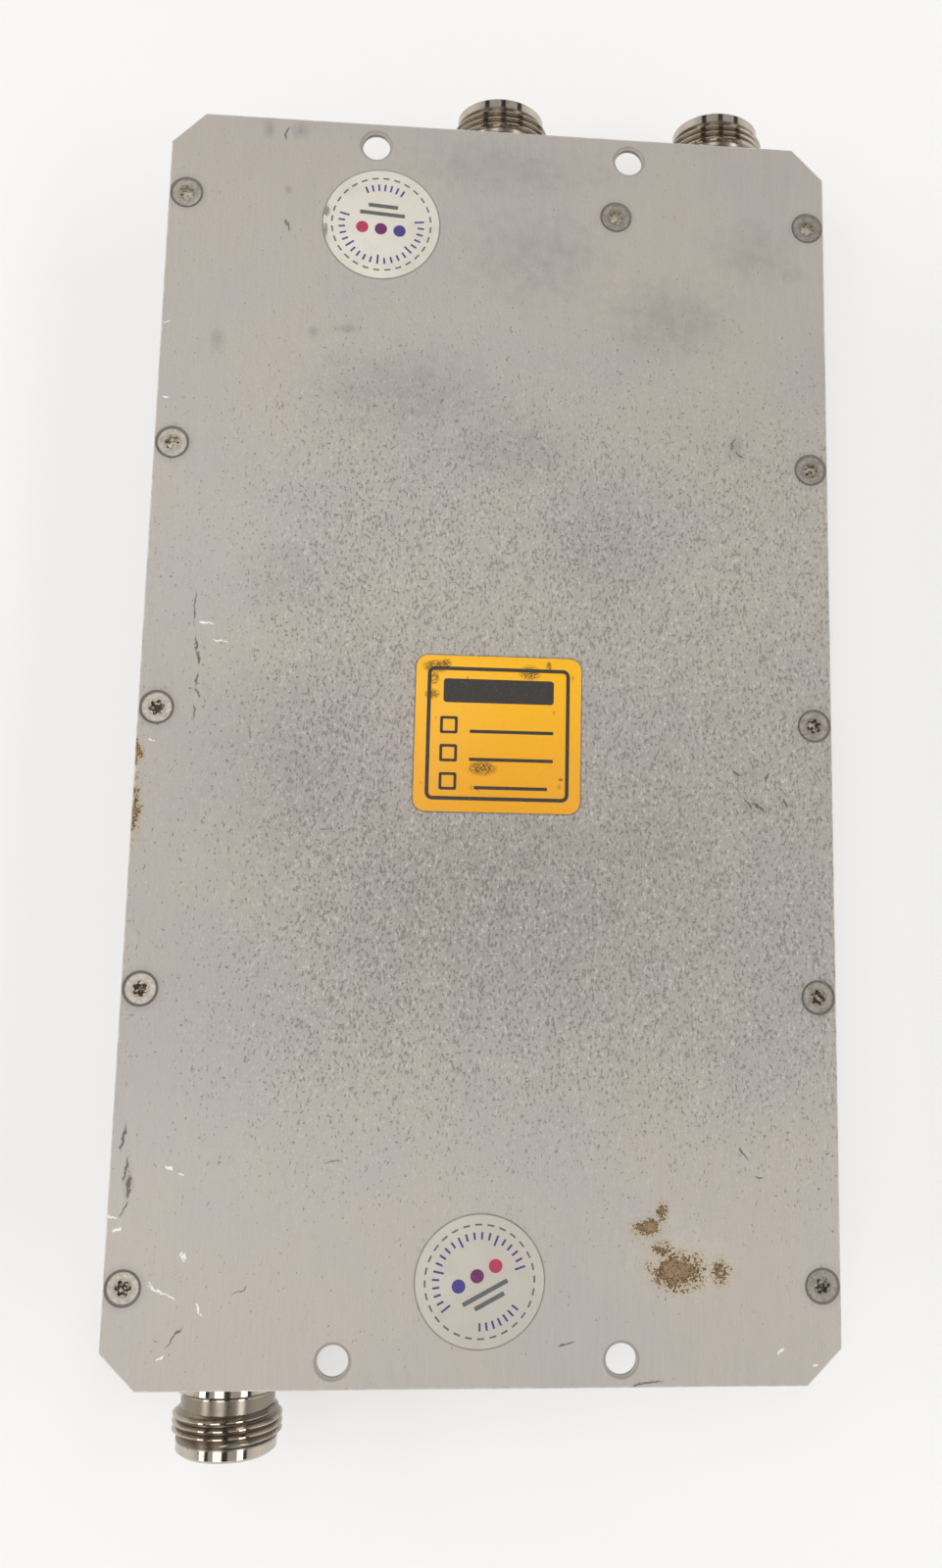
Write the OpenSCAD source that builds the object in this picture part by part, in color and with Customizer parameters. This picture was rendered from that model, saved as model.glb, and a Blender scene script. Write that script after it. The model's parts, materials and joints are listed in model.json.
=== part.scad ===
// Flat coaxial directional coupler: a milled housing with one long cover plate that overhangs both
// ends, three threaded coaxial jacks, two coupled strip lines and a built-in load resistor.
// Millimetres. +Z is out of the cover plate, +Y is the end with two jacks, and z = 0 is the underside.

/* [Housing] */
// Width of the milled housing
body_w = 102.5; // [96:0.5:125]
// Length of the housing between its end faces
body_l = 170; // [166:0.5:215]
// Height of the housing
body_h = 33; // [31:0.5:45]
// Thickness of the two long side walls
side_wall = 5.5; // [5:0.25:8]
// Thickness of the two end walls
end_wall = 8; // [7.5:0.25:10]
// Thickness of the floor
floor_t = 2.5; // [2:0.25:5]
// Corner radius of the milled pocket
pocket_r = 4; // [1.5:0.5:6]
// 45 degree break along the outer edges of the housing
body_break = 0.8; // [0.3:0.1:2]

/* [Cover plate] */
// How far the plate stands out past each side wall
plate_side_lip = 0.25; // [0:0.05:3]
// How far the plate stands out past each end wall, which makes the mounting ears
plate_end_lip = 9.5; // [8:0.25:14]
// Thickness of the plate
plate_t = 1.5; // [1.5:0.1:2.5]
// Legs of the 45 degree cut at each corner of the plate
corner_cut = 5; // [2:0.5:7]
// Break along the edges of the plate
plate_break = 0.2; // [0.1:0.05:0.4]

/* [Mounting holes] */
// Diameter of the four mounting holes
mount_hole_d = 4.3; // [3.2:0.1:4.5]
// Distance between the two mounting holes at one end
mount_hole_gap = 40; // [30:0.5:50]
// Distance from the plate's end to the centre of its mounting holes
mount_hole_inset = 3.75; // [3.5:0.05:4.5]
// 45 degree countersink on both rims of a mounting hole
mount_hole_rim = 0.4; // [0.1:0.05:0.6]

/* [Cover screws] */
// Number of screws along each side wall
side_screws = 5; // [3:1:8]
// Distance from the housing's side to the side screws
side_screw_inset = 2.45; // [2:0.05:3]
// Distance from the housing's end face to the rows of end screws
end_screw_inset = 4; // [3.5:0.1:4.5]
// Distance from the middle to each of the two screws between the corners of the two-jack end
pair_screw_x = 18; // [17:0.5:19]
// Thread diameter of a cover screw
cover_screw_d = 2.5; // [2:0.5:2.5]
// Length of a cover screw with its head
cover_screw_l = 5; // [4:0.5:5]
// Diameter of a countersunk head
cover_head_d = 4.5; // [4.2:0.1:4.8]
// Diameter of the countersink in the plate
countersink_d = 5.1; // [5:0.1:5.2]
// Height of the straight rim of a countersunk head
cover_head_rim = 0.1; // [0.05:0.05:0.15]
// Diameter across the lobes of a cover screw's drive
cover_drive_d = 2.3; // [1.8:0.1:2.4]
// Depth of a cover screw's drive
cover_drive_depth = 0.9; // [0.5:0.1:1.2]

/* [Jacks] */
// Distance from the housing's -X side to the axis of the single jack at the -Y end
left_jack_inset = 15.25; // [13.75:0.25:18]
// Place across the housing of the middle jack at the +Y end
centre_jack_x = 0; // [-1.5:0.25:1.5]
// Distance from the housing's +X side to the axis of the outer jack at the +Y end
right_jack_inset = 14; // [13.5:0.25:17]
// Side of the square flange
flange_w = 25.4; // [24.5:0.1:25.8]
// Thickness of the flange
flange_t = 2.5; // [1.6:0.1:3]
// Corner radius of the flange
flange_r = 1.5; // [0.5:0.25:3]
// Distance between flange screws
flange_screw_gap = 18.3; // [17.8:0.1:18.6]
// Diameter of the coupling thread and of the shoulder behind it
thread_d = 15.88; // [15.6:0.02:16.2]
// Diameter of the relief between the shoulder and the thread
relief_d = 13.6; // [13:0.1:14.6]
// Diameter of the plain nose in front of the thread
nose_d = 14.6; // [13.8:0.1:15]
// Distance from the wall to the end of the shoulder
shoulder_l = 13.25; // [12:0.25:16]
// Length of the relief
relief_l = 2.35; // [1.5:0.05:3.5]
// Length of the coupling thread
thread_l = 4.4; // [4:0.1:8]
// Length of the plain nose
nose_l = 1.9; // [1:0.1:2.5]
// Break on the shoulder, thread and nose edges
jack_break = 0.4; // [0.2:0.05:0.6]
// Diameter of the bore that takes the plug's sleeve
sleeve_bore_d = 8.6; // [8.4:0.05:8.8]
// Depth of that bore
sleeve_bore_l = 9.1; // [8.8:0.1:9.6]
// Diameter of the air line behind it
web_bore_d = 7; // [6.6:0.1:7.6]
// Thickness of the web that the air line passes through
web_t = 2; // [1:0.25:3]
// Diameter of the plastic bead
bead_d = 10; // [9:0.1:10.6]
// Diameter of the centre contact
contact_d = 3; // [2.8:0.05:3.2]
// How far the contact stands out of the web towards the plug
contact_proud = 4.9; // [4.6:0.05:5]
// How far the contact reaches into the housing
contact_reach = 6; // [5:0.25:7.5]
// Diameter of the socket in the contact
socket_d = 1.7; // [1.6:0.05:1.8]
// Depth of the socket
socket_l = 5.5; // [4.5:0.25:6]
// Width of the slots that make the socket springy
socket_slot_w = 0.3; // [0.2:0.05:0.4]
// Length of those slots
socket_slot_l = 4; // [3:0.25:4.5]

/* [Flange and load screws] */
// Thread diameter of the flange and load screws
pan_screw_d = 3; // [2.5:0.5:3]
// Thread length of the flange screws
flange_screw_l = 8; // [6:0.5:9]
// Thread length of the load screws
load_screw_l = 8; // [6:0.5:9]
// Head diameter of a pan head screw
pan_head_d = 5.6; // [5:0.1:6]
// Head height of a pan head screw
pan_head_h = 2.2; // [1.8:0.1:2.4]
// Height of the straight rim under the head's bevel
pan_head_rim = 1.3; // [0.8:0.1:1.6]
// Diameter across the lobes of a pan head drive
pan_drive_d = 2.8; // [2.3:0.1:3]
// Depth of a pan head drive
pan_drive_depth = 1.3; // [0.8:0.1:1.5]
// Break at the tip of every screw
screw_break = 0.4; // [0.2:0.05:0.5]

/* [Strip lines] */
// Width of the two coupled strips
strip_w = 22; // [16:0.5:23]
// Thickness of the strips
strip_t = 3; // [2:0.1:3.4]
// Gap between the coupled strips
strip_gap = 2; // [1:0.1:4]
// Width of the arms that cross over to the jacks
arm_w = 14; // [10:0.5:16]
// Width of the short feeds that meet the jack contacts
feed_w = 10; // [8:0.5:12]
// Distance from the pocket's ends to the arms of the main strip
arm_inset = 7; // [5:0.25:8]
// Distance in the length between the arms of the two strips
arm_gap = 4; // [3:0.5:8]
// Distance from the pocket's end walls to the feeds
feed_clear = 1.5; // [1:0.25:2.5]
// Size of the 45 degree cuts on the strips' corners
mitre = 6; // [3:0.5:8]

/* [Supports] */
// Diameter of the plastic supports
post_d = 10; // [8:0.5:12]
// Distance along the strips between supports
post_pitch = 38; // [30:1:40]
// Diameter of the spigot that passes through the strip
spigot_d = 4; // [3:0.5:5]
// How far the spigot enters the upper support
spigot_l = 4; // [2:0.5:6]

/* [Load resistor] */
// Length of the load's flange
load_flange_l = 24.8; // [24:0.1:25.4]
// Width of the load's flange and substrate
load_w = 9.5; // [9:0.1:10]
// Thickness of the load's flange
load_flange_t = 3.3; // [2.5:0.1:3.6]
// Distance between the load's screws
load_screw_gap = 18.4; // [18:0.1:18.8]
// Thickness of the ceramic substrate
substrate_t = 1.5; // [1:0.1:1.8]
// Length of the ceramic lid along the load
lid_l = 8.6; // [8:0.1:9]
// Width of the ceramic lid across the load
lid_w = 7; // [6.5:0.1:7.5]
// Distance from the substrate's back edge to the lid
lid_inset = 0.3; // [0.1:0.05:0.5]
// Height of the ceramic lid
lid_t = 1.6; // [1:0.1:2]
// Width of the tab
tab_w = 3.2; // [2:0.1:4]
// Thickness of the tab
tab_t = 0.2; // [0.1:0.05:0.3]
// How far the tab lies on the strip
tab_lap = 4; // [3:0.25:6]
// Distance from the pocket's end wall to the middle of the load
load_end_inset = 6.5; // [6:0.1:7.5]
// Distance from the pocket's side wall to the middle of the load
load_side_inset = 13.75; // [13.5:0.25:15]
// Gap between the load and the end of its strip
load_strip_gap = 1.25; // [1:0.05:2]
// How far the pedestal stands out around the load
pedestal_edge = 1; // [0.5:0.1:1.5]

/* [Labels] */
// Thickness of a label
label_t = 0.1; // [0.05:0.01:0.2]
// Width of the rectangular label
label_w = 24.6; // [20:0.1:40]
// Height of the rectangular label
label_h = 23.4; // [20:0.1:40]
// Corner radius of the rectangular label
label_r = 1.8; // [0.5:0.1:4]
// Middle of the rectangular label across the plate
label_x = 1; // [-10:0.1:10]
// Middle of the rectangular label along the plate
label_y = -2.6; // [-10:0.1:10]
// Diameter of the two round seals
seal_d = 18; // [12:0.5:22]
// How far the round seal at the +Y end is stuck off its screw towards the middle
upper_seal_slip = 3.5; // [0:0.1:5]
// How far the round seal at the +Y end is stuck off its screw towards -X
upper_seal_drift = 0.8; // [0:0.1:3]
// How far the round seal at the -Y end is stuck off its screw towards the middle
lower_seal_slip = 0.8; // [0:0.1:5]

/* [Fits] */
// Gap all round a thread in its hole
thread_fit = 0.02; // [0.01:0.01:0.05]
// Gap all round a screw in a clearance hole
screw_clear = 0.15; // [0.05:0.01:0.2]
// Gap between a countersunk head and its seat
seat_fit = 0.02; // [0:0.01:0.05]
// Gap all round the plastic beads and supports in and on the metal
bead_fit = 0.02; // [0.01:0.01:0.05]
// Gap all round a contact in its slot, which solder fills
solder_fit = 0.05; // [0.02:0.01:0.1]
// How much deeper a tapped hole is than its screw
tap_extra = 1; // [0.5:0.1:1.2]

/* [Hidden] */
$fn = 48;
// How far a cut runs past the face that it opens.
eps = 0.5;
// Lobe and core diameters of a six-lobed drive, as shares of the diameter across its lobes.
drive_lobe = 0.27;
drive_core = 0.74;
// Angle between one cover screw's drive and the next one's, which stopped where they were tight.
drive_turn = 37;
plate_w = body_w + 2 * plate_side_lip;
plate_l = body_l + 2 * plate_end_lip;
pocket_w = body_w - 2 * side_wall;
pocket_l = body_l - 2 * end_wall;
pocket_h = body_h - floor_t;
face_z = body_h + plate_t;
axis_z = floor_t + pocket_h / 2;
mount_hole_y = plate_l / 2 - mount_hole_inset;

side_screw_x = body_w / 2 - side_screw_inset;
end_screw_y = body_l / 2 - end_screw_inset;
side_screw_pitch = 2 * end_screw_y / (side_screws - 1);
side_screw_places = [for (s = [-1, 1], n = [0 : side_screws - 1])
    [s * side_screw_x, n * side_screw_pitch - end_screw_y]];
end_screw_places = [[-pair_screw_x, end_screw_y], [pair_screw_x, end_screw_y], [0, -end_screw_y]];
cover_screw_places = concat(side_screw_places, end_screw_places);
cover_head_sink = (countersink_d - cover_head_d) / 2 - cover_head_rim - seat_fit;
cover_head_h = cover_head_rim + (cover_head_d - cover_screw_d) / 2;

left_jack_x = left_jack_inset - body_w / 2;
right_jack_x = body_w / 2 - right_jack_inset;
jack_x = [left_jack_x, centre_jack_x, right_jack_x];
jack_end = [-1, 1, 1];
relief_end = shoulder_l + relief_l;
thread_end = relief_end + thread_l;
nose_end = thread_end + nose_l;
web_front = nose_end - sleeve_bore_l;
web_back = web_front - web_t;
contact_front = web_front + contact_proud;
contact_back = -end_wall - contact_reach;
bead_bore_d = bead_d + 2 * bead_fit;

strip_z = axis_z - strip_t / 2;
strip_top = axis_z + strip_t / 2;
strip_x = (strip_gap + strip_w) / 2;
feed_end = pocket_l / 2 - feed_clear;
feed_slot_l = contact_reach - feed_clear + solder_fit;
main_foot_y = arm_inset - pocket_l / 2;
main_head_y = pocket_l / 2 - arm_inset;
coupled_head_y = main_head_y - arm_w - arm_gap;
spigot_hole_d = spigot_d + 2 * bead_fit;

load_x = pocket_w / 2 - load_side_inset;
load_y = load_end_inset - pocket_l / 2;
load_front = load_y + load_w / 2;
load_back = load_y - load_w / 2;
coupled_foot_y = load_front + load_strip_gap;
substrate_z = strip_top - substrate_t;
pedestal_z = substrate_z - load_flange_t;
lid_back = load_back + lid_inset;
lid_front = lid_back + lid_w;

// A block with round upright edges, centred on X and Y and standing on z = 0.
module round_block(w, l, h, r) {
    translate([r - w / 2, -l / 2, 0]) cube([w - 2 * r, l, h]);
    translate([-w / 2, r - l / 2, 0]) cube([w, l - 2 * r, h]);
    for (x = [-1, 1], y = [-1, 1])
        translate([x * (w / 2 - r), y * (l / 2 - r), 0]) cylinder(h = h, r = r);
}

// A long square bar turned by 45 degrees, which breaks an edge that runs along X.
module edge_cutter(l, size) {
    rotate([45, 0, 0]) cube([l, size * sqrt(2), size * sqrt(2)], center = true);
}

// Six-lobed drive recess, down from z = 0.
module drive_recess(d, depth) {
    lobe_d = d * drive_lobe;
    translate([0, 0, -depth]) {
        cylinder(h = depth + eps, d = d * drive_core);
        for (a = [0 : 60 : 300])
            rotate(a) translate([(d - lobe_d) / 2, 0, 0]) cylinder(h = depth + eps, d = lobe_d, $fn = 24);
    }
}

// Pan head screw with its thread down along -Z and its head seated on z = 0.
module pan_screw(l) {
    difference() {
        rotate_extrude() polygon([
            [0, -l], [pan_screw_d / 2 - screw_break, -l], [pan_screw_d / 2, screw_break - l],
            [pan_screw_d / 2, 0], [pan_head_d / 2, 0], [pan_head_d / 2, pan_head_rim],
            [pan_head_d / 2 - pan_head_h + pan_head_rim, pan_head_h], [0, pan_head_h]]);
        translate([0, 0, pan_head_h]) drive_recess(pan_drive_d, pan_drive_depth);
    }
}

// Countersunk screw with its thread down along -Z and the top of its head at z = 0.
module cover_screw() {
    difference() {
        rotate_extrude() polygon([
            [0, -cover_screw_l], [cover_screw_d / 2 - screw_break, -cover_screw_l],
            [cover_screw_d / 2, screw_break - cover_screw_l], [cover_screw_d / 2, -cover_head_h],
            [cover_head_d / 2, -cover_head_rim], [cover_head_d / 2, 0], [0, 0]]);
        drive_recess(cover_drive_d, cover_drive_depth);
    }
}

// Puts a jack piece, drawn along +Z from the outside of the wall at z = 0, at jack number n.
module at_jack(n) {
    translate([jack_x[n], jack_end[n] * body_l / 2, axis_z]) rotate([-90 * jack_end[n], 0, 0]) children();
}

module at_flange_screws() {
    for (x = [-1, 1], y = [-1, 1])
        translate([x * flange_screw_gap / 2, y * flange_screw_gap / 2, 0]) children();
}

module at_load_screws() {
    for (x = [-1, 1]) translate([load_x + x * load_screw_gap / 2, load_y, 0]) children();
}

module housing_edge_breaks() {
    for (s = [-1, 1]) {
        translate([0, s * body_l / 2, 0]) edge_cutter(body_w + 2 * eps, body_break);
        translate([s * body_w / 2, 0, 0]) rotate(90) edge_cutter(body_l + 2 * eps, body_break);
        for (y = [-1, 1]) translate([s * body_w / 2, y * body_l / 2, body_h / 2])
            rotate([0, 90, 0]) edge_cutter(body_h + 2 * eps, body_break);
    }
}

module housing() {
    color("lightgray") difference() {
        union() {
            difference() {
                translate([-body_w / 2, -body_l / 2, 0]) cube([body_w, body_l, body_h]);
                translate([0, 0, floor_t]) round_block(pocket_w, pocket_l, body_h, pocket_r);
            }
            load_pedestal();
        }
        housing_edge_breaks();
        for (p = cover_screw_places)
            translate([p[0], p[1], body_h + plate_t - cover_head_sink - cover_screw_l - tap_extra])
                cylinder(h = cover_screw_l + tap_extra + eps, d = cover_screw_d + 2 * thread_fit);
        for (n = [0 : 2]) at_jack(n) {
            translate([0, 0, -end_wall - eps]) cylinder(h = end_wall + 2 * eps, d = bead_bore_d);
            at_flange_screws() translate([0, 0, flange_t - flange_screw_l - tap_extra])
                cylinder(h = flange_screw_l + tap_extra, d = pan_screw_d + 2 * thread_fit);
        }
        at_load_screws() translate([0, 0, pedestal_z + load_flange_t - load_screw_l - tap_extra])
            cylinder(h = load_screw_l + tap_extra, d = pan_screw_d + 2 * thread_fit);
    }
}

// Raised corner of the floor that carries the load resistor and its heat.
module load_pedestal() {
    x0 = load_x - load_flange_l / 2 - pedestal_edge;
    y0 = -pocket_l / 2 - eps;
    translate([x0, y0, floor_t - eps])
        cube([pocket_w / 2 + eps - x0, load_front + pedestal_edge - y0, pedestal_z - floor_t + eps]);
}

// Outline of the plate: a rectangle with its four corners cut off at 45 degrees.
module plate_outline() {
    x = plate_w / 2;
    y = plate_l / 2;
    c = corner_cut;
    polygon([[c - x, -y], [x - c, -y], [x, c - y], [x, y - c],
        [x - c, y], [c - x, y], [-x, y - c], [-x, c - y]]);
}

module plate_edge_breaks() {
    for (z = [0, plate_t], s = [-1, 1]) translate([0, 0, z]) {
        translate([0, s * plate_l / 2, 0]) edge_cutter(plate_w, plate_break);
        translate([s * plate_w / 2, 0, 0]) rotate(90) edge_cutter(plate_l, plate_break);
        for (y = [-1, 1]) translate([s * (plate_w - corner_cut) / 2, y * (plate_l - corner_cut) / 2, 0])
            rotate(-45 * s * y) edge_cutter(2 * corner_cut, plate_break);
    }
}

module cover_plate() {
    color("silver") translate([0, 0, body_h]) difference() {
        linear_extrude(plate_t) plate_outline();
        plate_edge_breaks();
        for (p = cover_screw_places) translate([p[0], p[1], 0]) {
            translate([0, 0, -eps]) cylinder(h = plate_t + 2 * eps, d = cover_screw_d + 2 * screw_clear);
            translate([0, 0, plate_t - countersink_d / 2])
                cylinder(h = countersink_d / 2 + eps, r1 = 0, r2 = countersink_d / 2 + eps);
        }
        for (x = [-1, 1], y = [-1, 1]) translate([x * mount_hole_gap / 2, y * mount_hole_y, 0]) {
            translate([0, 0, -eps]) cylinder(h = plate_t + 2 * eps, d = mount_hole_d);
            rim_r = mount_hole_d / 2 + mount_hole_rim;
            translate([0, 0, plate_t - rim_r]) cylinder(h = rim_r + eps, r1 = 0, r2 = rim_r + eps);
            translate([0, 0, -eps]) cylinder(h = rim_r + eps, r1 = rim_r + eps, r2 = 0);
        }
    }
}

module cover_screws() {
    color("gainsboro") for (n = [0 : len(cover_screw_places) - 1])
        translate([cover_screw_places[n][0], cover_screw_places[n][1], face_z - cover_head_sink])
            rotate(n * drive_turn) cover_screw();
}

// Turned shell with a square flange: shoulder, relief, coupling thread and nose, from the wall out.
module jack_shell(n) {
    shoulder_r = thread_d / 2;
    b = jack_break;
    color("whitesmoke") at_jack(n) difference() {
        union() {
            round_block(flange_w, flange_w, flange_t, flange_r);
            rotate_extrude() polygon([
                [0, 0], [shoulder_r, 0], [shoulder_r, shoulder_l - b], [shoulder_r - b, shoulder_l],
                [relief_d / 2, shoulder_l], [relief_d / 2, relief_end], [shoulder_r - b, relief_end],
                [shoulder_r, relief_end + b], [shoulder_r, thread_end - b], [nose_d / 2, thread_end],
                [nose_d / 2, nose_end - b], [nose_d / 2 - b, nose_end], [0, nose_end]]);
        }
        translate([0, 0, -eps]) cylinder(h = web_back + eps, d = bead_bore_d);
        translate([0, 0, web_back - eps]) cylinder(h = web_t + 2 * eps, d = web_bore_d);
        translate([0, 0, web_front]) cylinder(h = sleeve_bore_l + eps, d = sleeve_bore_d);
        at_flange_screws() translate([0, 0, -eps])
            cylinder(h = flange_t + 2 * eps, d = pan_screw_d + 2 * screw_clear);
    }
}

// Plastic bead that holds the contact in the middle of the shell and of the end wall.
module jack_bead(n) {
    color("white") at_jack(n) difference() {
        translate([0, 0, -end_wall]) cylinder(h = end_wall + web_back, d = bead_d);
        translate([0, 0, -end_wall - eps])
            cylinder(h = end_wall + web_back + 2 * eps, d = contact_d + 2 * bead_fit);
    }
}

// Centre contact with a slotted socket at its outer end.
module jack_contact(n) {
    color("gold") at_jack(n) difference() {
        translate([0, 0, contact_back]) cylinder(h = contact_front - contact_back, d = contact_d);
        translate([0, 0, contact_front - socket_l]) cylinder(h = socket_l + eps, d = socket_d);
        for (a = [0, 90]) rotate(a)
            translate([-contact_d, -socket_slot_w / 2, contact_front - socket_slot_l])
                cube([2 * contact_d, socket_slot_w, socket_slot_l + eps]);
    }
}

module jack_flange_screws() {
    color("silver") for (n = [0 : 2]) at_jack(n)
        at_flange_screws() translate([0, 0, flange_t]) pan_screw(flange_screw_l);
}

module span(x0, y0, x1, y1) {
    translate([min(x0, x1), min(y0, y1)]) square([abs(x1 - x0), abs(y1 - y0)]);
}

// A square on its corner that cuts a 45 degree mitre off an outer corner of a strip.
module mitre_cut(x, y) {
    translate([x, y]) rotate(45) square(mitre * sqrt(2), center = true);
}

// One end of a strip: an arm from the trunk at trunk_x across to end_x, and a feed on to end_y.
// side is 1 at the +Y end and -1 at the -Y end, and edge_y is the outer edge of the arm.
module strip_end(trunk_x, side, edge_y, end_x, end_y) {
    s = sign(end_x - trunk_x);
    inner_y = edge_y - side * arm_w;
    difference() {
        union() {
            span(trunk_x - s * strip_w / 2, edge_y, end_x + s * feed_w / 2, inner_y);
            span(end_x - feed_w / 2, end_y, end_x + feed_w / 2, inner_y);
        }
        mitre_cut(trunk_x - s * strip_w / 2, edge_y);
        mitre_cut(end_x + s * feed_w / 2, inner_y);
    }
}

// The trunk runs between the inner edges of the two arms, and the arms' own width carries it on.
module strip_solid(trunk_x, foot_y, head_y) {
    translate([0, 0, strip_z]) difference() {
        linear_extrude(strip_t) union() {
            span(trunk_x - strip_w / 2, foot_y + arm_w - eps, trunk_x + strip_w / 2, head_y - arm_w + eps);
            children();
        }
        for (n = [-1 : 1]) translate([trunk_x, n * post_pitch, -eps])
            cylinder(h = strip_t + 2 * eps, d = spigot_hole_d);
        for (n = [0 : 2])
            translate([jack_x[n], jack_end[n] * (feed_end - (feed_slot_l - eps) / 2), strip_t / 2])
                cube([contact_d + 2 * solder_fit, feed_slot_l + eps, strip_t + 2 * eps], center = true);
    }
}

// Through line from the jack at the -Y end to the middle jack.
module main_strip() {
    color("goldenrod") strip_solid(-strip_x, main_foot_y, main_head_y) {
        strip_end(-strip_x, -1, main_foot_y, left_jack_x, -feed_end);
        strip_end(-strip_x, 1, main_head_y, centre_jack_x, feed_end);
    }
}

// Coupled line from the outer jack to the load resistor.
module coupled_strip() {
    color("goldenrod") strip_solid(strip_x, coupled_foot_y, coupled_head_y) {
        strip_end(strip_x, -1, coupled_foot_y, load_x, coupled_foot_y);
        strip_end(strip_x, 1, coupled_head_y, right_jack_x, feed_end);
    }
}

// Plastic posts from the floor to the strip, each with a spigot through the strip.
module strip_posts(x) {
    color("ivory") for (n = [-1 : 1]) translate([x, n * post_pitch, floor_t]) {
        cylinder(h = strip_z - floor_t, d = post_d);
        cylinder(h = strip_top + spigot_l - floor_t, d = spigot_d);
    }
}

// Plastic caps from the strip to the cover plate, each with a hole for the spigot.
module strip_caps(x) {
    color("ivory") for (n = [-1 : 1]) translate([x, n * post_pitch, strip_top]) difference() {
        cylinder(h = body_h - strip_top, d = post_d);
        translate([0, 0, -eps]) cylinder(h = spigot_l + 2 * eps, d = spigot_hole_d);
    }
}

module load_flange() {
    color("peru") difference() {
        translate([load_x - load_flange_l / 2, load_back, pedestal_z])
            cube([load_flange_l, load_w, load_flange_t]);
        at_load_screws() translate([0, 0, pedestal_z - eps])
            cylinder(h = load_flange_t + 2 * eps, d = pan_screw_d + 2 * screw_clear);
    }
}

module load_substrate() {
    color("white") translate([load_x - load_w / 2, load_back, substrate_z])
        cube([load_w, load_w, substrate_t]);
}

module load_lid() {
    color("lightgray") translate([load_x - lid_l / 2, lid_back, strip_top])
        cube([lid_l, lid_w, lid_t]);
}

module load_tab() {
    color("gold") translate([load_x - tab_w / 2, lid_front, strip_top])
        cube([tab_w, coupled_foot_y + tab_lap - lid_front, tab_t]);
}

module load_screws() {
    color("silver") at_load_screws() translate([0, 0, substrate_z]) pan_screw(load_screw_l);
}

module square_label() {
    color("orange") translate([label_x, label_y, face_z]) round_block(label_w, label_h, label_t, label_r);
}

// Round seal over a hidden cover screw.
module seal(x, y) {
    color("ivory") translate([x, y, face_z]) cylinder(h = label_t, d = seal_d, $fn = 96);
}

module upper_seal() {
    seal(-pair_screw_x - upper_seal_drift, end_screw_y - upper_seal_slip);
}

module lower_seal() {
    seal(0, lower_seal_slip - end_screw_y);
}

housing();
cover_plate();
cover_screws();
jack_shell(0);  // left_jack_shell
jack_shell(1);  // centre_jack_shell
jack_shell(2);  // right_jack_shell
jack_bead(0);  // left_jack_bead
jack_bead(1);  // centre_jack_bead
jack_bead(2);  // right_jack_bead
jack_contact(0);  // left_jack_contact
jack_contact(1);  // centre_jack_contact
jack_contact(2);  // right_jack_contact
jack_flange_screws();
main_strip();
coupled_strip();
strip_posts(-strip_x);  // main_strip_posts
strip_posts(strip_x);  // coupled_strip_posts
strip_caps(-strip_x);  // main_strip_caps
strip_caps(strip_x);  // coupled_strip_caps
load_flange();
load_substrate();
load_lid();
load_tab();
load_screws();
square_label();
upper_seal();
lower_seal();
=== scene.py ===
"""Finishes the flat coaxial directional coupler: turned jacks with real threads, labels with their
marks, and the surface of every metal and plastic. Metres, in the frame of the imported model: +Z is out
of the cover plate, and +Y points to the end with two jacks. Patterns are measured in millimetres."""
import json
import math

import bmesh
import bpy
from mathutils import Matrix, Vector


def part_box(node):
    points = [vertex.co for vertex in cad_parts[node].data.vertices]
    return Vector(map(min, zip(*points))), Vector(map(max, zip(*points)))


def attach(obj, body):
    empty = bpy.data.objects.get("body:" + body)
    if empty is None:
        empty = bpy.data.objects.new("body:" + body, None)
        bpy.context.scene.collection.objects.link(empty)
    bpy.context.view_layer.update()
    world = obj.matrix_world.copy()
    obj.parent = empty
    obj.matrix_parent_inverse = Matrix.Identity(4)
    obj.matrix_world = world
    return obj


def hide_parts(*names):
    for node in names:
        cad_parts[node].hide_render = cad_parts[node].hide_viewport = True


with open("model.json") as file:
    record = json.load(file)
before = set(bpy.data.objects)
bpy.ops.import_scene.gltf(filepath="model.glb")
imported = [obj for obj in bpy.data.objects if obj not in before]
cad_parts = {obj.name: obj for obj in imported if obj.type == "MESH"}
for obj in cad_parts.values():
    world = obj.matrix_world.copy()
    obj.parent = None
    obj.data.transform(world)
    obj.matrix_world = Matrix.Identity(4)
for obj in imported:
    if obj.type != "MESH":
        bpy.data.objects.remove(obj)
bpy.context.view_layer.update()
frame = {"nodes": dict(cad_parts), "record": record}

MM = 0.001

# The jack's turned shell, measured from the housing's end face along its own axis.
JACK_R = 7.94 * MM
STUB_END = 6 * MM
SHOULDER_END = 13.25 * MM
RELIEF_R = 6.8 * MM
THREAD_START = 15.6 * MM
THREAD_END = 20 * MM
THREAD_ROOT_R = 7.27 * MM
THREAD_PITCH = 1.058 * MM
THREAD_FLAT = 0.16 * MM
THREAD_BASE = 0.92 * MM
THREAD_FADE = 0.3
NOSE_R = 7.3 * MM
NOSE_END = 21.9 * MM
JACK_BREAK = 0.4 * MM
BEAD_BORE_R = 5.02 * MM
WEB_BORE_R = 3.5 * MM
SLEEVE_BORE_R = 4.3 * MM
WEB_BACK = 10.8 * MM
WEB_FRONT = 12.8 * MM
SPIN_STEPS = 96

# Labels and the ink on them.
LABEL_FACE = 34.5
LABEL_T = 0.08
INK_T = 0.02
LABEL_CORNER = 1.8

# Where the cover screws sit on the plate, in millimetres.
SIDE_SCREW_X = 48.8
PAIR_SCREW_X = 18
SCREW_ROW = 40.5
SCREW_HEAD_Z = 34.32
SCREW_HEAD_R = 2.25
PLATE_CORNER = 5
HOLE_PLACE = (20, 90.75)
HOLE_EDGE_R = 2.75
COUNTERSINK_R = 2.55

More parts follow.
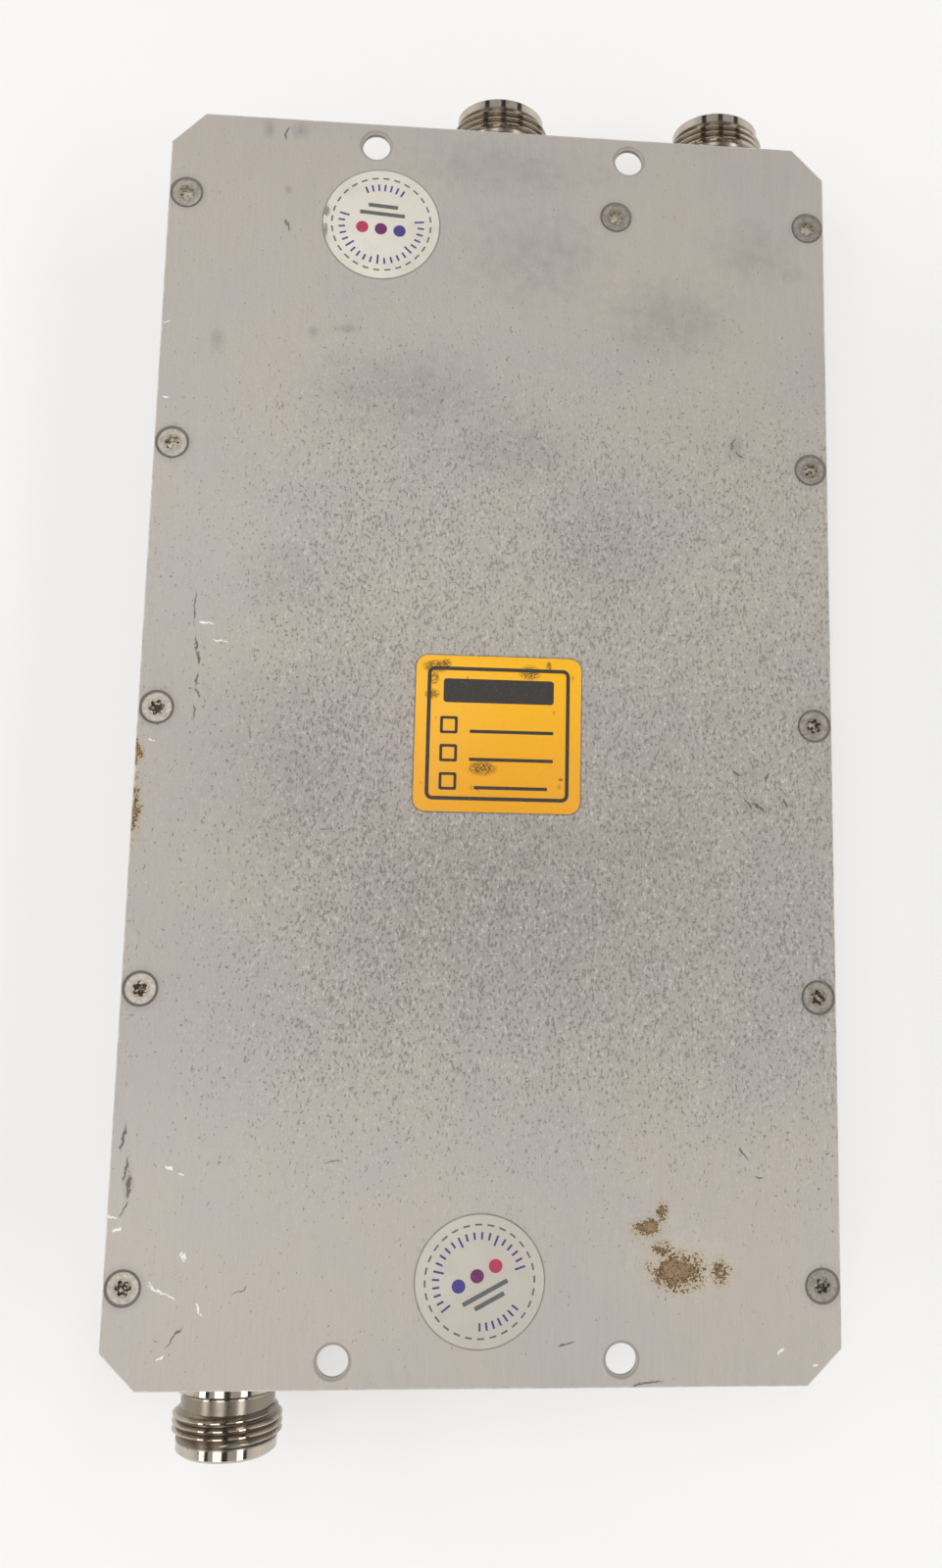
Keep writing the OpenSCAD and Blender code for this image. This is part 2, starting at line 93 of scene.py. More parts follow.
# Marks on the plate: middle x and y in millimetres, turn in degrees, length and width.
DARK_SCRATCHES = [
    (-49.9, -61, 80, 4, 0.22), (-49.3, -65, 78, 3.4, 0.24), (-48.8, -67.6, 92, 2.6, 0.42),
    (-49.2, -70.6, 70, 2.4, 0.16), (-44.1, 15, 90, 6, 0.14), (-43.6, 9.6, 96, 2.4, 0.18),
    (-43.2, 7.5, 98, 1.6, 0.36), (-43.3, 4.2, 84, 1.8, 0.22), (-42.9, 2.3, 120, 1.6, 0.26),
    (-43.4, -0.6, 88, 2.2, 0.22), (-34, 91.9, 84, 2.4, 0.24), (-33.2, 76.4, 115, 2, 0.22),
    (-32.9, -81.3, 28, 2.4, 0.16), (-20.9, -64.2, 10, 3.4, 0.12), (-41.6, -87.4, 50, 4.2, 0.14),
    (12.2, -88.6, 14, 2.4, 0.18), (37.6, -62.8, 130, 2.4, 0.2), (39.6, -66, 165, 1.2, 0.2),
    (36.9, -7.4, 150, 1.6, 0.2), (41.4, -8, 80, 1.6, 0.26), (38.6, -12, 120, 2, 0.26),
    (40.2, -12.6, 145, 2.2, 0.24), (44.3, -11.8, 115, 1.4, 0.3), (23.6, -93.9, 6, 5, 0.22),
    (36.5, 43.9, 75, 2, 0.24), (37.6, 42.4, 130, 1.6, 0.24),
]
BRIGHT_SCRATCHES = [
    (-43.6, -81.6, 155, 4.8, 0.16), (-45, -80.6, 130, 1.4, 0.16), (-40.9, -76.8, 105, 1, 0.34),
    (-43.5, -65.1, 160, 0.9, 0.22), (-41.7, -65.8, 145, 1, 0.18), (-38.4, -83.8, 120, 1.8, 0.24),
    (-43.2, -90.1, 40, 1.5, 0.18), (-50.6, -71.6, 160, 1.6, 0.2), (-50, -73.2, 50, 1, 0.26),
    (-50.9, -91, 80, 2, 0.22), (-50.6, 59.6, 4, 1, 0.14), (-50.2, 47.6, 172, 1.2, 0.14),
    (-42.2, 12.9, 0, 2.2, 0.2), (-40.2, 10.1, 172, 3, 0.14), (-49.4, -5, 160, 1, 0.14),
    (42.6, -89.9, 30, 0.6, 0.22), (47.6, -91.8, 20, 0.5, 0.22),
]
# Smudges on the plate: middle x and y, half width and half height in millimetres, strength.
GREY_SMUDGES = [
    (-14, 50, 20, 10, 0.6), (1.8, 42, 15, 9, 0.5), (27, 64, 15, 10, 0.6), (40, 76, 10, 8, 0.5),
    (17, 26, 14, 17, 0.42), (0, -24, 44, 26, 0.62), (-29, -10, 18, 26, 0.5), (24, -18, 16, 12, 0.5),
    (-30, 20, 13, 9, 0.45), (-36.7, 92.4, 1.4, 2.2, 0.9), (-31.8, 92.6, 1.8, 2, 1),
    (-33.4, 82.3, 0.8, 1.2, 1), (-42.9, 57.2, 1.8, 2.6, 0.7), (-28.7, 59.2, 1.3, 1.5, 0.8),
    (-23.6, 60, 2.8, 1.2, 0.8), (-48.9, -66.8, 1.1, 3, 0.8), (39.2, -12.3, 3.2, 1.8, 0.8),
    (38.6, -7.6, 3, 1.4, 0.7), (37, 43.6, 2, 2.8, 0.8), (46, 73, 3.6, 2.6, 0.5), (0, 88, 24, 7, 0.45),
    (5, 73, 19, 12, 0.45),
]
BROWN_SPOTS = [
    (27.8, -79, 3.1, 2.1, 1), (23.8, -73, 1.7, 1.1, 0.9), (25.6, -75.9, 1.5, 1, 0.45),
    (34, -79, 1.3, 1.6, 0.3), (25.6, -70.9, 0.7, 1.3, 0.5), (-51.4, -6.9, 0.8, 1.6, 0.85),
    (-51.4, -14.4, 0.9, 4.2, 0.85),
]
PALE_HALOS = [(28.6, -77.6, 10, 6.4, 0.8)]

# Scuffs on the square label, measured on the plate like the marks above.
LABEL_SCUFFS = [
    (-8.4, 7.4, 2.2, 1.1, 0.95), (-6.9, 7.9, 0.9, 0.8, 1), (-8.6, 5.6, 0.8, 1.1, 0.8),
    (-8.9, 3.2, 1.3, 0.9, 0.7), (5.6, 6.8, 1.9, 1.3, 0.7), (8.4, 7.9, 0.5, 0.8, 1),
    (-1.2, -7.8, 2.4, 1.2, 0.9), (10.4, -9.2, 0.4, 0.3, 0.8),
]

# Smears on the upper seal's rim.
SEAL_SMEARS = [(-27.3, 79.2, 0.7, 1.2, 1), (-27.4, 76, 0.5, 1.8, 0.7)]


class Nodes:
    """Places shader nodes in one material or node group, and links them."""

    def __init__(self, tree):
        self.tree = tree

    def feed(self, socket, value):
        """Gives an input a value of its own, or a link from another node."""
        if isinstance(value, bpy.types.NodeSocket):
            self.tree.links.new(value, socket)
        else:
            socket.default_value = value

    def add(self, kind, values=None, **options):
        node = self.tree.nodes.new("ShaderNode" + kind)
        for name, value in options.items():
            setattr(node, name, value)
        for name, value in (values or {}).items():
            self.feed(node.inputs[name], value)
        return node

    def math(self, operation, *values, clamp=False):
        node = self.add("Math", operation=operation, use_clamp=clamp)
        for socket, value in zip(node.inputs, values):
            self.feed(socket, value)
        return node.outputs[0]

    def vector(self, operation, *values):
        node = self.add("VectorMath", operation=operation)
        for socket, value in zip(node.inputs, values):
            self.feed(socket, value)
        return node

    def smooth(self, value, low, high):
        """0 at low and 1 at high, with a soft step between them, whichever is larger."""
        node = self.add("MapRange", interpolation_type="SMOOTHSTEP")
        for name, number in (("Value", value), ("From Min", low), ("From Max", high)):
            self.feed(node.inputs[name], number)
        return node.outputs["Result"]

    def between(self, value, low, high):
        """Turns 0 to 1 into low to high."""
        node = self.add("MapRange", {"Value": value, "To Min": low, "To Max": high})
        return node.outputs["Result"]

    def mix(self, amount, first, second):
        node = self.add("Mix", data_type="RGBA")
        for index, value in ((0, amount), (6, first), (7, second)):
            self.feed(node.inputs[index], value)
        return node.outputs[2]

    def shade(self, colour, amount):
        """Multiplies a colour by a number that changes over the surface."""
        node = self.add("Mix", data_type="RGBA", blend_type="MULTIPLY")
        for index, value in ((0, 1.0), (6, colour), (7, amount)):
            self.feed(node.inputs[index], value)
        return node.outputs[2]

    def noise(self, place, scale, detail=2.0, roughness=0.5):
        values = {"Vector": place, "Scale": scale, "Detail": detail, "Roughness": roughness}
        return self.add("TexNoise", values).outputs["Fac"]

    def parts(self, place):
        return self.add("SeparateXYZ", {"Vector": place}).outputs

    def effect(self, group, **values):
        """Places a node group, with its inputs by name, and returns its outputs."""
        node = self.tree.nodes.new("ShaderNodeGroup")
        node.node_tree = group
        for name, value in values.items():
            self.feed(node.inputs[name], value)
        return node.outputs


def rgb(red, green, blue):
    """A colour as it looks on a screen, from 0 to 255, as the linear colour that a shader takes."""
    linear = [((c / 255 + 0.055) / 1.055) ** 2.4 if c > 10 else c / 255 / 12.92 for c in (red, green, blue)]
    return (*linear, 1)


def new_group(name, inputs, outputs):
    """An empty node group. inputs gives each socket's name and kind."""
    group = bpy.data.node_groups.new(name, "ShaderNodeTree")
    for socket, kind in inputs.items():
        group.interface.new_socket(socket, in_out="INPUT", socket_type="NodeSocket" + kind)
    for socket in outputs:
        group.interface.new_socket(socket, in_out="OUTPUT", socket_type="NodeSocketFloat")
    nodes = Nodes(group)
    entry = group.nodes.new("NodeGroupInput").outputs
    leave = group.nodes.new("NodeGroupOutput").inputs
    return group, nodes, entry, leave


def make_grain():
    """Long fine streaks: a noise whose cells are as many per millimetre as Stretch says."""
    group, nodes, entry, leave = new_group("streaks", {"Place": "Vector", "Stretch": "Vector"}, ["Streak"])
    stretched = nodes.vector("MULTIPLY", entry["Place"], entry["Stretch"]).outputs[0]
    nodes.feed(leave["Streak"], nodes.noise(stretched, 1.0, 2.0, 0.6))
    return group


def make_cloud():
    """Soft patches of about Size millimetres, from 0 below Low to 1 above High."""
    kinds = {"Place": "Vector", "Size": "Float", "Low": "Float", "High": "Float"}
    group, nodes, entry, leave = new_group("patches", kinds, ["Patch"])
    scale = nodes.math("DIVIDE", 1.0, entry["Size"])
    field = nodes.noise(entry["Place"], scale, 3.0, 0.6)
    nodes.feed(leave["Patch"], nodes.smooth(field, entry["Low"], entry["High"]))
    return group


def make_pits():
    """Small dents, about Density squared of them on a square millimetre, of which Share are there."""
    kinds = {"Place": "Vector", "Density": "Float", "Share": "Float"}
    group, nodes, entry, leave = new_group("pits", kinds, ["Pit"])
    across = nodes.vector("DOT_PRODUCT", entry["Place"], (1.2, 0, 0.9)).outputs["Value"]
    along = nodes.vector("DOT_PRODUCT", entry["Place"], (0, 0.85, 0.7)).outputs["Value"]
    slanted = nodes.add("CombineXYZ", {"X": across, "Y": along}).outputs[0]
    values = {"Vector": slanted, "Scale": entry["Density"]}
    cells = nodes.add("TexVoronoi", values, voronoi_dimensions="2D")
    chance = nodes.add("SeparateColor", {"Color": cells.outputs["Color"]}).outputs
    there = nodes.math("LESS_THAN", chance[0], entry["Share"])
    reach = nodes.between(chance[1], 0.25, 0.55)
    dent = nodes.smooth(cells.outputs["Distance"], reach, 0.05)
    nodes.feed(leave["Pit"], nodes.math("MULTIPLY", dent, there))
    return group


def make_scratch():
    """How far a place is from one stroke, squared, with 1 at its outline, or from Others if they are nearer."""
    kinds = {"Place": "Vector", "Along": "Vector", "Across": "Vector", "Others": "Float"}
    group, nodes, entry, leave = new_group("scratch", kinds, ["Nearest"])
    along = nodes.vector("DOT_PRODUCT", entry["Place"], entry["Along"]).outputs["Value"]
    across = nodes.vector("DOT_PRODUCT", entry["Place"], entry["Across"]).outputs["Value"]
    far = nodes.math("MULTIPLY_ADD", across, across, nodes.math("MULTIPLY", along, along))
    nodes.feed(leave["Nearest"], nodes.math("MINIMUM", far, entry["Others"]))
    return group


def make_spot():
    """How far a place is from one spot, with 1 at its outline, or from Others if they are nearer."""
    kinds = {"Place": "Vector", "Scale": "Vector", "Offset": "Vector", "Others": "Float"}
    group, nodes, entry, leave = new_group("spot", kinds, ["Nearest"])
    moved = nodes.vector("MULTIPLY_ADD", entry["Place"], entry["Scale"], entry["Offset"]).outputs[0]
    far = nodes.vector("LENGTH", moved).outputs["Value"]
    nodes.feed(leave["Nearest"], nodes.math("MINIMUM", far, entry["Others"]))
    return group


def make_edge_wear():
    """Where an edge or corner has lost its finish: the normal there differs from a rounded one."""
    group, nodes, entry, leave = new_group("edge wear", {"Place": "Vector", "Radius": "Float"}, ["Worn"])
    rounded = nodes.add("Bevel", {"Radius": entry["Radius"]}, samples=6).outputs[0]
    true = nodes.add("NewGeometry").outputs["Normal"]
    same = nodes.vector("DOT_PRODUCT", rounded, true).outputs["Value"]
    uneven = nodes.between(nodes.noise(entry["Place"], 0.9, 3.0, 0.7), 0.02, 0.16)
    nodes.feed(leave["Worn"], nodes.smooth(nodes.math("SUBTRACT", 1.0, same), uneven, 0.3))
    return group


def make_screw_seat():
    """Distance and direction from the middle of the nearest cover screw, in the plane of the plate."""
    group, nodes, entry, leave = new_group("screw seat", {"Place": "Vector"}, ["Radius", "Angle"])
    x, y, _ = nodes.parts(entry["Place"])
    across = nodes.math("ABSOLUTE", x)
    inner = nodes.math("LESS_THAN", across, (SIDE_SCREW_X + PAIR_SCREW_X) / 2)
    column = nodes.between(inner, SIDE_SCREW_X, PAIR_SCREW_X)
    dx = nodes.math("SUBTRACT", across, column)
    dy = nodes.math("WRAP", y, SCREW_ROW / 2, -SCREW_ROW / 2)
    radius = nodes.math("SQRT", nodes.math("ADD", nodes.math("MULTIPLY", dx, dx), nodes.math("MULTIPLY", dy, dy)))
    no_screw = nodes.math("MULTIPLY", inner, nodes.math("LESS_THAN", y, 1.5 * SCREW_ROW))
    nodes.feed(leave["Radius"], nodes.math("MULTIPLY_ADD", no_screw, 100.0, radius))
    nodes.feed(leave["Angle"], nodes.math("ARCTAN2", dy, dx))
    return group


GRAIN = make_grain()
CLOUD = make_cloud()
PITS = make_pits()
SCRATCH = make_scratch()
SPOT = make_spot()
EDGE_WEAR = make_edge_wear()
SCREW_SEAT = make_screw_seat()


def new_material(name):
    """A material with no nodes yet but its place in millimetres."""
    material = bpy.data.materials.new(name)
    material.use_nodes = True
    material.node_tree.nodes.clear()
    nodes = Nodes(material.node_tree)
    place = nodes.vector("SCALE", nodes.add("TexCoord").outputs["Object"])
    place.inputs["Scale"].default_value = 1 / MM
    return material, nodes, place.outputs[0]


def finish_surface(nodes, colour, metallic, roughness, height=None, depth=0.05, **fixed):
    """The Principled shader. height is 0 to 1 over depth in millimetres."""
    values = {"Base Color": colour, "Metallic": metallic, "Roughness": roughness}
    for name, value in fixed.items():
        values[name.replace("_", " ").title().replace("Ior", "IOR")] = value
    if height is not None:
        bump = nodes.add("Bump", {"Strength": 1.0, "Distance": depth * MM, "Height": height})
        values["Normal"] = bump.outputs["Normal"]
    shader = nodes.add("BsdfPrincipled", values)
    output = nodes.add("OutputMaterial")
    nodes.tree.links.new(shader.outputs[0], output.inputs["Surface"])


def scratches(nodes, place, marks):
    """1 inside the strokes of a list. place is flat, with a height of 1."""
    nearest = 9.0
    for x, y, turn, length, width in marks:
        c, s = math.cos(math.radians(turn)), math.sin(math.radians(turn))
        half = length / 2 + width
        along = (c / half, s / half, -(x * c + y * s) / half)
        across = (-s / width, c / width, (x * s - y * c) / width)
        values = {"Along": along, "Across": across, "Others": nearest}
        nearest = nodes.effect(SCRATCH, Place=place, **values)["Nearest"]
    return nodes.smooth(nearest, 1.0, 0.3)


def spots(nodes, place, ragged, marks):
    """The distance to the nearest spot of a list, 1 at its outline, with a ragged field added to it."""
    nearest = 9.0
    for x, y, half_w, half_h, strength in marks:
        values = {"Scale": (1 / half_w, 1 / half_h, 0), "Offset": (-x / half_w, -y / half_h, 1 - strength)}
        nearest = nodes.effect(SPOT, Place=place, Others=nearest, **values)["Nearest"]
    return nodes.math("ADD", nearest, ragged)


def sticker_rims(nodes, place):
    """Dirt that gathers on the plate along the edges of the three labels."""
    total = 0.0
    x, y, _ = nodes.parts(place)
    for name in ("square_label", "upper_seal", "lower_seal"):
        low, high = (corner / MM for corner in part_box(name))
        middle = (low + high) / 2
        corner = LABEL_CORNER if name == "square_label" else (high.x - low.x) / 2
        sides = []
        for part, centre, half in ((x, middle.x, (high.x - low.x) / 2), (y, middle.y, (high.y - low.y) / 2)):
            away = nodes.math("ABSOLUTE", nodes.math("SUBTRACT", part, centre))
            sides.append(nodes.math("MAXIMUM", nodes.math("SUBTRACT", away, half - corner), 0.0))
        squares = [nodes.math("MULTIPLY", side, side) for side in sides]
        past = nodes.math("SUBTRACT", nodes.math("SQRT", nodes.math("ADD", *squares)), corner)
        total = nodes.math("MAXIMUM", total, nodes.smooth(past, 0.32, 0.05))
    return total


def plate_border(nodes, x, y, uneven):
    """A thin bright line where the plate's outer edges are rubbed, broken up by an uneven field."""
    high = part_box("cover_plate")[1] / MM
    across = nodes.math("SUBTRACT", nodes.math("ABSOLUTE", x), high.x)
    along = nodes.math("SUBTRACT", nodes.math("ABSOLUTE", y), high.y)
    corner = nodes.math("MULTIPLY_ADD", nodes.math("ADD", across, along), 0.707, 0.707 * PLATE_CORNER)
    past = nodes.math("MAXIMUM", nodes.math("MAXIMUM", across, along), corner)
    return nodes.smooth(nodes.math("MULTIPLY_ADD", uneven, 0.7, past), 0.1, 0.3)


def plate_metal():
    """Cover plate: dull rolled aluminium with a pitted middle, smudges, scratches and brown spots."""
    material, nodes, place = new_material("cover_plate_aluminium")
    x, y, z = nodes.parts(place)
    face = nodes.smooth(z, LABEL_FACE - 0.4, LABEL_FACE - 0.1)
    grain = nodes.effect(GRAIN, Place=place, Stretch=(3.2, 0.2, 3.2))["Streak"]
    fine = nodes.noise(place, 3.2, 1.0, 0.6)
    coarse = nodes.noise(place, 0.5, 3.0, 0.6)
    ragged = nodes.math("MULTIPLY_ADD", coarse, 2.0, -1.0)
    torn = nodes.math("MULTIPLY_ADD", fine, 2.4, nodes.math("MULTIPLY_ADD", coarse, 2.0, -2.2))
    drift = nodes.add("TexNoise", {"Vector": place, "Scale": 0.9, "Detail": 1.0}).outputs["Color"]
    drift = nodes.vector("SUBTRACT", drift, (0.5, 0.5, 0.5)).outputs[0]
    flat = nodes.vector("MULTIPLY_ADD", place, (1, 1, 0), (0, 0, 1)).outputs[0]
    crooked = nodes.vector("MULTIPLY_ADD", drift, (1.1, 1.1, 0), flat).outputs[0]

    # The pitted middle: dense between the second and the fourth screw rows, thin at the ends.
    ends = nodes.smooth(nodes.math("ABSOLUTE", nodes.math("ADD", y, 6.0)), 84.0, 34.0)
    cover = nodes.math("MULTIPLY", ends, nodes.between(nodes.smooth(x, -48.0, -20.0), 0.3, 1.0))
    pressed = nodes.vector("MULTIPLY", place, (2.8, 1.6, 2.8)).outputs[0]
    relief = nodes.noise(pressed, 1.0, 1.0, 0.7)
    level = nodes.math("MULTIPLY_ADD", nodes.math("ADD", cover, coarse), -0.15, 0.22)
    # Dents: sunk in the bump, and painted darker in the colour below, as the shade that falls in them.
    dents = nodes.smooth(nodes.math("ADD", relief, level), 0.41, 0.33)
    # Painted highlights: the raised tops of the relief in the pitted middle are painted lighter.
    painted_fleck_highlights = nodes.math("MULTIPLY", nodes.smooth(relief, 0.6, 0.7), cover)

    patch = nodes.effect(CLOUD, Place=place, Size=26.0, Low=0.4, High=0.64)["Patch"]
    softly = nodes.math("MULTIPLY", ragged, 0.55)
    smudge = nodes.smooth(spots(nodes, place, softly, GREY_SMUDGES), 1.05, -0.1)
    dark = nodes.math("MULTIPLY", scratches(nodes, crooked, DARK_SCRATCHES), nodes.smooth(fine, 0.22, 0.4))
    bright = nodes.math("MULTIPLY", scratches(nodes, crooked, BRIGHT_SCRATCHES), nodes.smooth(fine, 0.3, 0.42))
    near_brown = spots(nodes, place, torn, BROWN_SPOTS)
    brown = nodes.smooth(near_brown, 1.0, 0.8)
    fringe = nodes.smooth(near_brown, 1.7, 1.0)
    halo = nodes.smooth(spots(nodes, place, ragged, PALE_HALOS), 1.0, 0.2)
    seat = nodes.effect(SCREW_SEAT, Place=place)["Radius"]
    gap = nodes.smooth(seat, COUNTERSINK_R + 0.08, COUNTERSINK_R - 0.08)
    ring = nodes.math("MULTIPLY", nodes.smooth(seat, COUNTERSINK_R + 1.1, COUNTERSINK_R), 0.15)
    rims = nodes.math("MULTIPLY", sticker_rims(nodes, place), nodes.between(coarse, 0.3, 1.1))
    # Painted shade: the chamfers round the mounting holes are painted darker, as the shade that falls on them,
    # and are joined to the screw rings.
    hole = nodes.vector("SUBTRACT", nodes.vector("ABSOLUTE", flat).outputs[0], (*HOLE_PLACE, 1)).outputs[0]
    edge = nodes.smooth(nodes.vector("LENGTH", hole).outputs["Value"], HOLE_EDGE_R, HOLE_EDGE_R - 0.3)
    ring = nodes.math("MAXIMUM", ring, nodes.math("MULTIPLY", edge, 0.35))
    worn = plate_border(nodes, x, y, coarse)

    colour = nodes.mix(nodes.between(patch, 0.0, 0.8), rgb(190, 182, 173), rgb(183, 179, 174))
    colour = nodes.shade(colour, nodes.between(grain, 0.92, 1.08))
    # Darker in a band across the plate round y = -22 mm, fading out between 14 and 48 mm from it.
    darker_band = nodes.smooth(nodes.math("ABSOLUTE", nodes.math("ADD", y, 22.0)), 48.0, 14.0)
    colour = nodes.shade(colour, nodes.between(cover, 1.0, 0.92))
    colour = nodes.shade(colour, nodes.between(darker_band, 1.0, 0.9))
    colour = nodes.mix(nodes.math("MULTIPLY", smudge, 0.55), colour, rgb(140, 136, 133))
    colour = nodes.mix(nodes.math("MULTIPLY", halo, 0.3), colour, rgb(208, 200, 184))
    # Painted highlights on the raised flecks.
    colour = nodes.mix(nodes.math("MULTIPLY", painted_fleck_highlights, 0.4), colour, rgb(222, 217, 210))
    # Painted shade in the dents.
    colour = nodes.mix(nodes.math("MULTIPLY", dents, 0.38), colour, rgb(84, 74, 64))
    colour = nodes.mix(nodes.math("MULTIPLY", fringe, 0.6), colour, rgb(176, 156, 112))
    rust = nodes.mix(nodes.smooth(near_brown, 0.3, 0.8), rgb(146, 120, 90), rgb(84, 62, 34))
    colour = nodes.mix(brown, colour, nodes.shade(rust, nodes.between(relief, 0.3, 1.7)))
    # Dirt round the screws, along the labels and in dark scratches, together with the painted shade on the hole
    # chamfers.
    dirt_and_painted_shade = nodes.math("MAXIMUM", nodes.math("MAXIMUM", gap, ring), nodes.math("MAXIMUM", dark, rims))
    dirt_and_painted_shade = nodes.math("MULTIPLY", dirt_and_painted_shade, face)
    colour = nodes.mix(nodes.math("MULTIPLY", dirt_and_painted_shade, 0.75), colour, rgb(82, 77, 72))
    shine = nodes.math("MAXIMUM", nodes.math("MULTIPLY", bright, face), nodes.math("MULTIPLY", worn, 0.5))
    colour = nodes.mix(shine, colour, rgb(238, 235, 230))

    stains_and_painted_shade = nodes.math("MAXIMUM", nodes.math("MINIMUM", brown, 1.0), dirt_and_painted_shade)
    metallic = nodes.math("MULTIPLY_ADD", stains_and_painted_shade, -0.45, 0.5, clamp=True)
    roughness = nodes.math("MULTIPLY_ADD", grain, 0.14, 0.46)
    roughness = nodes.math("MULTIPLY_ADD", stains_and_painted_shade, 0.3, roughness, clamp=True)
    height = nodes.math("MULTIPLY_ADD", dents, -0.7, nodes.math("MULTIPLY_ADD", relief, 0.6, 0.5))
    finish_surface(nodes, colour, metallic, roughness, height, 0.09)
    return material


def housing_metal():
    """Milled aluminium: cutter lines along the sides, faint patches, small dents and worn edges."""
    material, nodes, place = new_material("housing_aluminium")
    lines = nodes.effect(GRAIN, Place=place, Stretch=(0.05, 0.05, 3.4))["Streak"]
    grain = nodes.effect(GRAIN, Place=place, Stretch=(1.6, 0.12, 1.6))["Streak"]
    patch = nodes.effect(CLOUD, Place=place, Size=22.0, Low=0.42, High=0.66)["Patch"]
    grime = nodes.effect(CLOUD, Place=place, Size=6.0, Low=0.58, High=0.78)["Patch"]
    pit = nodes.effect(PITS, Place=place, Density=0.9, Share=0.04)["Pit"]
    worn = nodes.effect(EDGE_WEAR, Place=place, Radius=0.7 * MM)["Worn"]
    colour = nodes.mix(nodes.math("MULTIPLY", patch, 0.5), rgb(184, 180, 175), rgb(165, 166, 168))
    colour = nodes.shade(colour, nodes.between(lines, 0.9, 1.08))
    colour = nodes.shade(colour, nodes.between(grain, 0.92, 1.08))
    colour = nodes.mix(nodes.math("MULTIPLY", grime, 0.35), colour, rgb(120, 116, 110))
    colour = nodes.mix(nodes.math("MULTIPLY", pit, 0.35), colour, rgb(108, 102, 96))
    colour = nodes.mix(nodes.math("MULTIPLY", worn, 0.6), colour, rgb(228, 226, 222))
    roughness = nodes.math("MULTIPLY_ADD", grime, 0.15, nodes.between(grain, 0.34, 0.48))
    height = nodes.math("MULTIPLY_ADD", pit, -0.6, nodes.between(lines, 0.6, 0.9))
    finish_surface(nodes, colour, 0.6, roughness, height, 0.03)
    return material


def screw_metal():
    """Nickelled screws. The heads in the cover have turning rings, a dirty rim and a chewed drive, whose recess
    is painted with shade and glints, more glints on the upper screws.
    """
    material, nodes, place = new_material("screw_nickel")
    z = nodes.parts(place)[2]
    seat = nodes.effect(SCREW_SEAT, Place=place)
    near = nodes.math("LESS_THAN", seat["Radius"], SCREW_HEAD_R + 0.2)
    in_cover = nodes.math("MULTIPLY", near, nodes.math("GREATER_THAN", z, SCREW_HEAD_Z - 2))
    rings = nodes.add("CombineXYZ", {"X": nodes.math("MULTIPLY", seat["Radius"], 9.0), "Y": seat["Angle"]})
    turned = nodes.noise(rings.outputs[0], 1.0, 2.0, 0.6)
    mottle = nodes.noise(place, 1.7, 4.0, 0.7)
    rim = nodes.math("MULTIPLY", nodes.smooth(seat["Radius"], SCREW_HEAD_R - 0.22, SCREW_HEAD_R - 0.02), in_cover)
    sunk = nodes.math("MULTIPLY", nodes.smooth(z, SCREW_HEAD_Z - 0.05, SCREW_HEAD_Z - 0.4), in_cover)
    burr = nodes.math("MULTIPLY", nodes.smooth(seat["Radius"], 1.6, 1.15), nodes.smooth(mottle, 0.42, 0.6))
    burr = nodes.math("MULTIPLY", burr, in_cover)
    worn = nodes.effect(EDGE_WEAR, Place=place, Radius=0.12 * MM)["Worn"]
    colour = nodes.mix(nodes.smooth(mottle, 0.3, 0.7), rgb(148, 140, 131), rgb(186, 178, 168))
    colour = nodes.shade(colour, nodes.between(turned, 0.84, 1.14))
    colour = nodes.mix(nodes.math("MULTIPLY", burr, 0.6), colour, rgb(92, 78, 62))
    colour = nodes.mix(nodes.math("MULTIPLY", worn, 0.5), colour, rgb(232, 226, 212))
    colour = nodes.mix(nodes.math("MULTIPLY", rim, 0.7), colour, rgb(84, 76, 64))
    # Painted shade and painted glints in the drive recess, mottled, with more painted glints on the upper screws.
    upper_glint_share = nodes.math("MULTIPLY", nodes.smooth(nodes.parts(place)[1], 10.0, 60.0), 0.12)
    lit = nodes.smooth(nodes.math("ADD", mottle, upper_glint_share), 0.5, 0.6)
    recess_shade_and_glints = nodes.mix(lit, rgb(70, 56, 44), rgb(214, 204, 186))
    colour = nodes.mix(sunk, colour, recess_shade_and_glints)
    # The dirty rim, and the painted shade in the recess.
    dirt_and_painted_shade = nodes.math("MAXIMUM", rim, nodes.math("MULTIPLY", sunk, nodes.smooth(mottle, 0.62, 0.5)))
    metallic = nodes.math("MULTIPLY_ADD", dirt_and_painted_shade, -0.5, 0.7, clamp=True)
    roughness = nodes.math("MULTIPLY_ADD", dirt_and_painted_shade, 0.25, nodes.between(mottle, 0.26, 0.46), clamp=True)
    height = nodes.math("ADD", nodes.math("MULTIPLY", turned, 0.3), nodes.math("MULTIPLY", mottle, 0.5))
    finish_surface(nodes, colour, metallic, roughness, height, 0.03)
    return material


